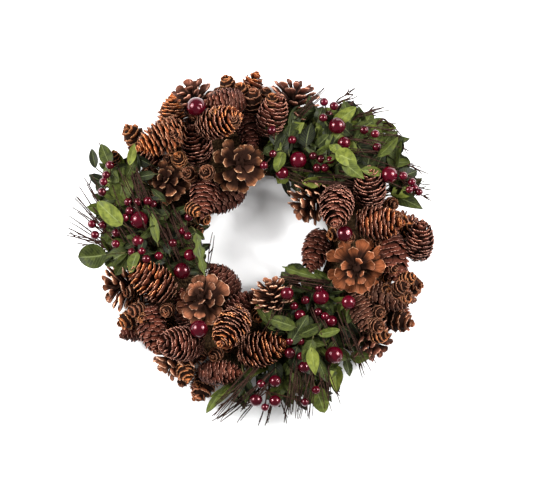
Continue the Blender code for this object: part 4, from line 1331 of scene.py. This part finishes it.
class WREATH_OT_leaves(bpy.types.Operator):
    """Model the leaves of the three clusters, each in its own shape and tone"""

    bl_idname = "wreath.leaves"
    bl_label = "Leaves"
    bl_options = {"REGISTER", "UNDO"}

    FINE, COARSE = (12, 6), (6, 4)      # rows and columns of the leaves in sight and under them
    THICKNESS = 0.018
    NO_SOLID = (35 * MM, 0, 0)          # the height and slopes of a leaf over no solid
    # Where the surface under a leaf is measured, as shares of its length and its width.
    MEASURED_AHEAD, MEASURED_ASIDE = (-0.36, -0.18, 0, 0.18, 0.36), (-0.3, 0, 0.3)
    LEAST_MEASURED, LEAST_LEVEL = 4, 5  # for a height, and for slopes as well
    LEVEL = 9                           # a place counts if it is this near to the middle height
    OVER_PLANE, STEEPEST, ONE_RISE = 0.6, 0.6, 0.15
    # The shapes of leaves, by the powers of their length and girth in half_width.
    SHAPES = {
        "broad": (0.85, 0.55), "long": (0.75, 0.9), "narrow": (0.9, 0.7), "lobed": (0.8, 0.6),
    }
    # A thicket's leaves: their lengths, their widths by their lengths, their tones and shapes. The
    # tones run low: painted shade among the leaves that lie under the listed ones.
    THICKET_LEAVES = {
        "left": ((13, 24), (0.34, 0.62), (0.0, 0.46), ("broad", "narrow", "long")),
        "right": ((18, 28), (0.50, 0.74), (0.0, 0.66), ("broad", "broad", "long")),
        "bottom": ((14, 26), (0.34, 0.62), (0.0, 0.52), ("broad", "narrow", "long")),
    }
    # How high they lie, by how far out from the ring's middle they are.
    THICKET_OUT, THICKET_HEIGHTS = (60, 76, 120, 150, 180), (28, 40, 48, 36, 23)

    def execute(self, context):
        settings = context.scene.wreath_leaves
        shapes = {kind: self.model_leaf(kind, *self.FINE) for kind in self.SHAPES}
        lesser = {kind: self.model_leaf(kind, *self.COARSE) for kind in ("broad", "narrow", "long")}
        green = finish("leaf_green", "leaf", {"Rib": settings.rib, "Veins": 9.0}, 0.5, 0.14)[0]
        bark = fibre_finish("leaf_stem", (0.014, 0.014, 0.006), (0.09, 0.08, 0.03), 0.4, 160.0)
        chance = random.Random(SEED + 4)
        for cluster in CLUSTERS:
            node = f"leaf_{cluster}"
            relief = Relief([node])
            parts, paths = [], []
            for x, y, bearing, length, width, kind, tone in LEAVES[cluster]:
                place = self.lay(relief, x, y, math.radians(bearing), length, width)
                parts.append((self.curled(shapes[kind], settings, chance), [place], [tone]))
                paths.append(self.stalk(place))
            lengths, shares, tones, names = self.THICKET_LEAVES[cluster]
            for x, y, radius, number in THICKETS[cluster]:
                number = round(number * settings.density)
                for place in self.thicket(x, y, radius, number, lengths, shares, chance):
                    blade = self.curled(lesser[chance.choice(names)], settings, chance)
                    # Dark tones come most often: painted shade under the leaves above, on top of
                    # each leaf's own tone.
                    tone = tones[0] + (tones[1] - tones[0]) * chance.random() ** 1.4
                    parts.append((blade, [place], [tone]))
                    paths.append(self.stalk(place))
            hand_over(assemble(f"{node}_blades", parts), "leaf", green, node)
            hand_over(draw_stems(f"{node}_stalks", paths, 4), "leaf", bark, node)
        return {"FINISHED"}

    def thicket(self, x, y, radius, number, lengths, shares, chance):
        """The places of leaves that point outwards from the ring in a round patch."""
        for _ in range(number):
            turn, far = chance.uniform(0, 2 * math.pi), radius * math.sqrt(chance.random())
            middle = spot(x + far * math.cos(turn), y + far * math.sin(turn))
            out = (middle - RING).length / MM
            height = np.interp(out, self.THICKET_OUT, self.THICKET_HEIGHTS) + chance.uniform(-11, 8)
            middle.z = height * MM
            bearing = math.atan2(middle.y - RING.y, middle.x - RING.x) + chance.gauss(0, 0.9)
            length = chance.uniform(*lengths)
            width = length * chance.uniform(*shares)
            yield self.place(
                middle, bearing, chance.gauss(0.12, 0.28), chance.gauss(0, 0.4), length, width
            )

    def half_width(self, kind, along):
        """Half a leaf's width at a share of its length."""
        skew, fullness = self.SHAPES[kind]
        half = 0.5 * math.sin(math.pi * min(1, along ** skew)) ** fullness
        if kind == "lobed":
            half *= 0.68 + 0.32 * math.cos(2 * math.pi * (along * 3 - 0.35))
        return half

    def model_leaf(self, kind, rows, columns):
        """A flat leaf of length 1 and width 1, base at the origin, tip at +Y."""
        shape = []
        for row in range(rows + 1):
            half = max(0.02, self.half_width(kind, row / rows))
            shape.append((row / rows, half, -self.THICKNESS, 0.0))
        return model_blade(shape, columns, arch=0.0, setback=0.0)

    @staticmethod
    def curled(flat, settings, chance):
        """A copy of a leaf that folds at its rib, waves at its edges and droops to its tip."""
        x, y, z = flat.points.T
        fold = chance.uniform(0.15, 0.6)
        phase, turns = chance.uniform(0, 6), chance.uniform(4, 7)
        lift = fold * np.abs(x) + settings.wave * 2 * np.abs(x) * np.sin(turns * y + phase)
        lift -= settings.curl * chance.uniform(0.2, 2.2) * y ** 2
        sway = chance.uniform(-0.16, 0.16) * y ** 2
        points = np.stack([x + sway, y, z + lift], axis=1)
        return Master(points, flat.corners, flat.sizes, flat.uv)

    def lay(self, relief, x, y, bearing, length, width):
        """A leaf's place: on the plane that fits its solid there, or else on what lies below."""
        middle = spot(x, y)
        height, rise, roll = (
            self.plane(relief, middle, bearing, length, width)
            or self.plane(SOLIDS, middle, bearing, length, width) or self.NO_SOLID
        )
        middle.z = height
        return self.place(middle, bearing, rise, roll, length, width)

    @staticmethod
    def place(middle, bearing, rise, roll, length, width):
        """A leaf's place from its middle, the way to its tip, and its slopes ahead and aside."""
        ahead = Vector((math.cos(bearing), math.sin(bearing), rise)).normalized()
        aside = Vector((-math.sin(bearing), math.cos(bearing), roll))
        up = ahead.cross(aside).normalized()
        columns = (ahead.cross(up) * width * MM, ahead * length * MM, up * width * MM)
        place = Matrix.Identity(4)
        for column, way in enumerate(columns):
            for row in range(3):
                place[row][column] = way[row]
        place.translation = middle - columns[1] / 2
        return place

    def plane(self, relief, middle, bearing, length, width):
        """A plane fitted to the surface under a leaf: its height and its slopes ahead and aside."""
        ahead = Vector((math.cos(bearing), math.sin(bearing), 0))
        aside = Vector((-ahead.y, ahead.x, 0))
        rows = []
        for ahead_share in self.MEASURED_AHEAD:
            for aside_share in self.MEASURED_ASIDE:
                along, across = ahead_share * length * MM, aside_share * width * MM
                top = relief.top(middle + ahead * along + aside * across)
                if top is not None:
                    rows.append((1, along, across, top))
        if len(rows) < self.LEAST_MEASURED:
            return None
        rows = np.array(rows)
        level = np.median(rows[:, 3])
        rows = rows[np.abs(rows[:, 3] - level) < self.LEVEL * MM]
        if len(rows) < self.LEAST_LEVEL:
            return level, self.ONE_RISE, 0.0
        height, *slopes = np.linalg.lstsq(rows[:, :3], rows[:, 3], rcond=None)[0]
        rise, roll = np.clip(slopes, -self.STEEPEST, self.STEEPEST).tolist()
        return height + self.OVER_PLANE * MM, rise, roll

    @staticmethod
    def stalk(place):
        """A leaf's stalk, from the middle of its blade back and down into the ring."""
        base, along = place.translation.copy(), Vector((place[0][1], place[1][1], place[2][1]))
        back, foot = base - along * 0.2, into_ring(base)
        points = [base + along * 0.15, base, back.lerp(foot, 0.15), back.lerp(foot, 0.6), foot]
        return points, [0.4, 0.6, 0.6, 0.7, 0.8]


class WREATH_OT_twigs(bpy.types.Operator):
    """Model the dark twigs and the dry grass stems"""

    bl_idname = "wreath.twigs"
    bl_label = "Twigs"
    bl_options = {"REGISTER", "UNDO"}

    REACH = 1.02    # the twigs' ends lie below the plane that their places are read in
    # How high a twig starts, where the solid's twig is looked for, and its end's least and most.
    START, ABOVE, END_HEIGHTS = 34, 30, (14, 50)
    # A strand's heights, how far its middle bows up, and how far its ends drop.
    STRAND_HEIGHTS, STRAND_BOWS, STRAND_ENDS = (40, 55), (2, 10), (12, 8)
    STRAND_RADII = (0.55, 0.55, 0.5, 0.45, 0.35)

    def execute(self, context):
        settings = context.scene.wreath_twigs
        bark = fibre_finish("twig_bark", settings.dark, settings.light, 0.6, 900.0)
        chance = random.Random(SEED + 5)
        for cluster in CLUSTERS:
            node = f"twig_{cluster}"
            relief = Relief([node])
            paths = []
            for x0, y0, x1, y1 in TWIGS[cluster]:
                side_twigs = chance.choice((1, 2, 3) if cluster == "right" else (0, 0, 1))
                start = spot(x0, y0, self.START)
                end = spot(x1 * self.REACH, y1 * self.REACH, self.ABOVE)
                low, high = (height * MM for height in self.END_HEIGHTS)
                end.z = min(max(relief.near(end), low), high)
                paths += self.twig(start, end, settings.radius, side_twigs, chance)
                beside = Vector((chance.gauss(0, 2.5), chance.gauss(0, 2.5), 0)) * MM
                end = start.lerp(end, chance.uniform(0.7, 0.95)) + beside
                paths += self.twig(start + beside * 0.6, end, settings.radius * 0.85, 0, chance)
            for x0, y0, x1, y1, number, spread in STRANDS[cluster]:
                for _ in range(number):
                    paths.append(self.strand(spot(x0, y0), spot(x1, y1), spread, chance))
            hand_over(draw_stems(f"{node}_stems", paths, 4), "twig", bark, node)
        return {"FINISHED"}

    @staticmethod
    def twig(start, end, radius, side_twigs, chance):
        """A knotty twig that comes up out of the ring, and its side twigs."""
        way = end - start
        aside = Vector((-way.y, way.x, 0)).normalized()
        points = [into_ring(start), start - way * 0.2 + Vector((0, 0, -3 * MM))]
        for step in range(5):
            sway = aside * chance.gauss(0, 0.5) * MM
            points.append(start.lerp(end, step / 4) + sway)
        radii = [1.2, 1.1, 1.0, 0.9, 1.0, 0.75, 0.6]
        paths = [(points, [radius * share for share in radii])]
        for _ in range(side_twigs):
            foot = start.lerp(end, chance.uniform(0.3, 0.8))
            side = aside * chance.choice((-1, 1)) * chance.uniform(2, 5) * MM
            tip = foot + way.normalized() * chance.uniform(4, 9) * MM + side
            middle = foot.lerp(tip, 0.5) + side * 0.2
            paths.append(([foot, middle, tip], [radius * 0.8, radius * 0.9, radius * 0.5]))
        return paths

    def strand(self, start, end, spread, chance):
        """A thin dry stem that bows between two places on the ring."""
        shift = Vector((chance.gauss(0, spread), chance.gauss(0, spread), 0)) * MM
        skew = Vector((chance.gauss(0, spread), chance.gauss(0, spread), 0)) * MM
        height, bow = chance.uniform(*self.STRAND_HEIGHTS), chance.uniform(*self.STRAND_BOWS)
        points = []
        for share in np.linspace(0, 1, len(self.STRAND_RADII)):
            point = start.lerp(end, share) + shift + skew * share
            point.z = (height + bow * math.sin(math.pi * share)) * MM
            points.append(point)
        for point, drop in zip((points[0], points[-1]), self.STRAND_ENDS):
            point.z -= drop * MM
        return points, self.STRAND_RADII


class WREATH_OT_stage(bpy.types.Operator):
    """Lay the pale floor and set the soft lights and the camera"""

    bl_idname = "wreath.stage"
    bl_label = "Floor, Lights and Camera"
    bl_options = {"REGISTER", "UNDO"}

    FLOOR_SIZE, FLOOR_HEIGHT = 8, -0.2 * MM
    LIGHT_DISTANCE, SPARK_DISTANCE = 1.4, 1.4 * 0.98    # a small light hangs before its soft one
    LIGHT_SIZE, SPARK_SIZE = 1.0, 0.17
    # The ways to the side lights: far over to each side, a little to the wreath's top.
    LIGHT_WAYS = ((-0.78, 0.28, 0.60), (0.78, 0.28, 0.60))

    def execute(self, context):
        settings = context.scene.wreath_stage
        self.lay_floor(settings)
        self.hang_lights(context, settings)
        self.set_camera(context)
        context.scene.view_settings.view_transform = "Standard"
        return {"FINISHED"}

    def lay_floor(self, settings):
        deselect()
        bpy.ops.mesh.primitive_plane_add(size=self.FLOOR_SIZE, location=(0, 0, self.FLOOR_HEIGHT))
        floor = bpy.context.object
        floor.name = "floor"
        material, shader = new_material("pale_floor")
        fill_in(shader, {"Base Color": settings.floor, "Roughness": 0.9})
        floor.data.materials.append(material)
        floor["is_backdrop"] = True

    def hang_lights(self, context, settings):
        kinds = (
            ("side_light", self.LIGHT_SIZE, settings.side_power, self.LIGHT_DISTANCE),
            ("small_light", self.SPARK_SIZE, settings.spark_power, self.SPARK_DISTANCE),
        )
        for number, way in enumerate(self.LIGHT_WAYS):
            way = Vector(way).normalized()
            for name, size, power, distance in kinds:
                data = bpy.data.lights.new(f"{name}_{number}", "AREA")
                data.shape = "DISK"
                data.size = size
                data.energy = power
                light = bpy.data.objects.new(data.name, data)
                light.location = RING + way * distance
                light.rotation_euler = way.to_track_quat("Z", "Y").to_euler()
                context.collection.objects.link(light)
        world = bpy.data.worlds.new("studio")
        world.use_nodes = True
        background = world.node_tree.nodes["Background"]
        background.inputs["Color"].default_value = (1, 1, 1, 1)
        background.inputs["Strength"].default_value = settings.fill
        context.scene.world = world

    def set_camera(self, context):
        """Straight above the picture's middle, with a millimetre a pixel at the cones' height."""
        data = bpy.data.cameras.new("camera")
        data.sensor_width = SENSOR
        data.lens = SENSOR * (CAMERA_HEIGHT - CONE_PLANE) / IMAGE_WIDTH
        data.clip_end = 100
        camera = bpy.data.objects.new("camera", data)
        middle = (IMAGE_WIDTH / 2 - RING_PIXEL[0], RING_PIXEL[1] - IMAGE_HEIGHT / 2)
        camera.location = spot(*middle, CAMERA_HEIGHT)
        context.collection.objects.link(camera)
        context.scene.camera = camera


class WREATH_PT_panel(bpy.types.Panel):
    """The wreath's pieces and their settings"""

    bl_idname = "WREATH_PT_panel"
    bl_label = "Pinecone Wreath"
    bl_space_type = "VIEW_3D"
    bl_region_type = "UI"
    bl_category = "Wreath"

    def draw(self, context):
        for settings_name, operators in STEPS:
            box = self.layout.box()
            settings = getattr(context.scene, settings_name)
            for name in settings.__annotations__:
                box.prop(settings, name)
            for operator in operators:
                box.operator(operator.bl_idname)


SETTINGS = {
    "wreath_straw": StrawSettings, "wreath_cones": ConeSettings, "wreath_berries": BerrySettings,
    "wreath_leaves": LeafSettings, "wreath_twigs": TwigSettings, "wreath_stage": StageSettings,
}
STEPS = (
    ("wreath_straw", (WREATH_OT_straw_ring,)),
    ("wreath_cones", (WREATH_OT_spruce_cones, WREATH_OT_pine_cones, WREATH_OT_small_cones)),
    ("wreath_berries", (WREATH_OT_berries,)),
    ("wreath_leaves", (WREATH_OT_leaves,)),
    ("wreath_twigs", (WREATH_OT_twigs,)),
    ("wreath_stage", (WREATH_OT_stage,)),
)
OPERATORS = [operator for _, operators in STEPS for operator in operators]
CLASSES = [*SETTINGS.values(), *OPERATORS, WREATH_PT_panel]


def register():
    for new_class in CLASSES:
        bpy.utils.register_class(new_class)
    for name, settings in SETTINGS.items():
        setattr(bpy.types.Scene, name, bpy.props.PointerProperty(type=settings))


def unregister():
    for name in SETTINGS:
        delattr(bpy.types.Scene, name)
    for old_class in reversed(CLASSES):
        bpy.utils.unregister_class(old_class)


def main():
    register()
    bpy.ops.wreath.straw_ring()
    bpy.ops.wreath.spruce_cones()
    bpy.ops.wreath.pine_cones()
    bpy.ops.wreath.small_cones()
    bpy.ops.wreath.berries()
    bpy.ops.wreath.leaves()
    bpy.ops.wreath.twigs()
    bpy.ops.wreath.stage()
    boxes = {"cad": CAD_BOX, "visual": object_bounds()}
    {name: [list(corner) for corner in box] for name, box in boxes.items()}


if __name__ == "__main__":
    main()
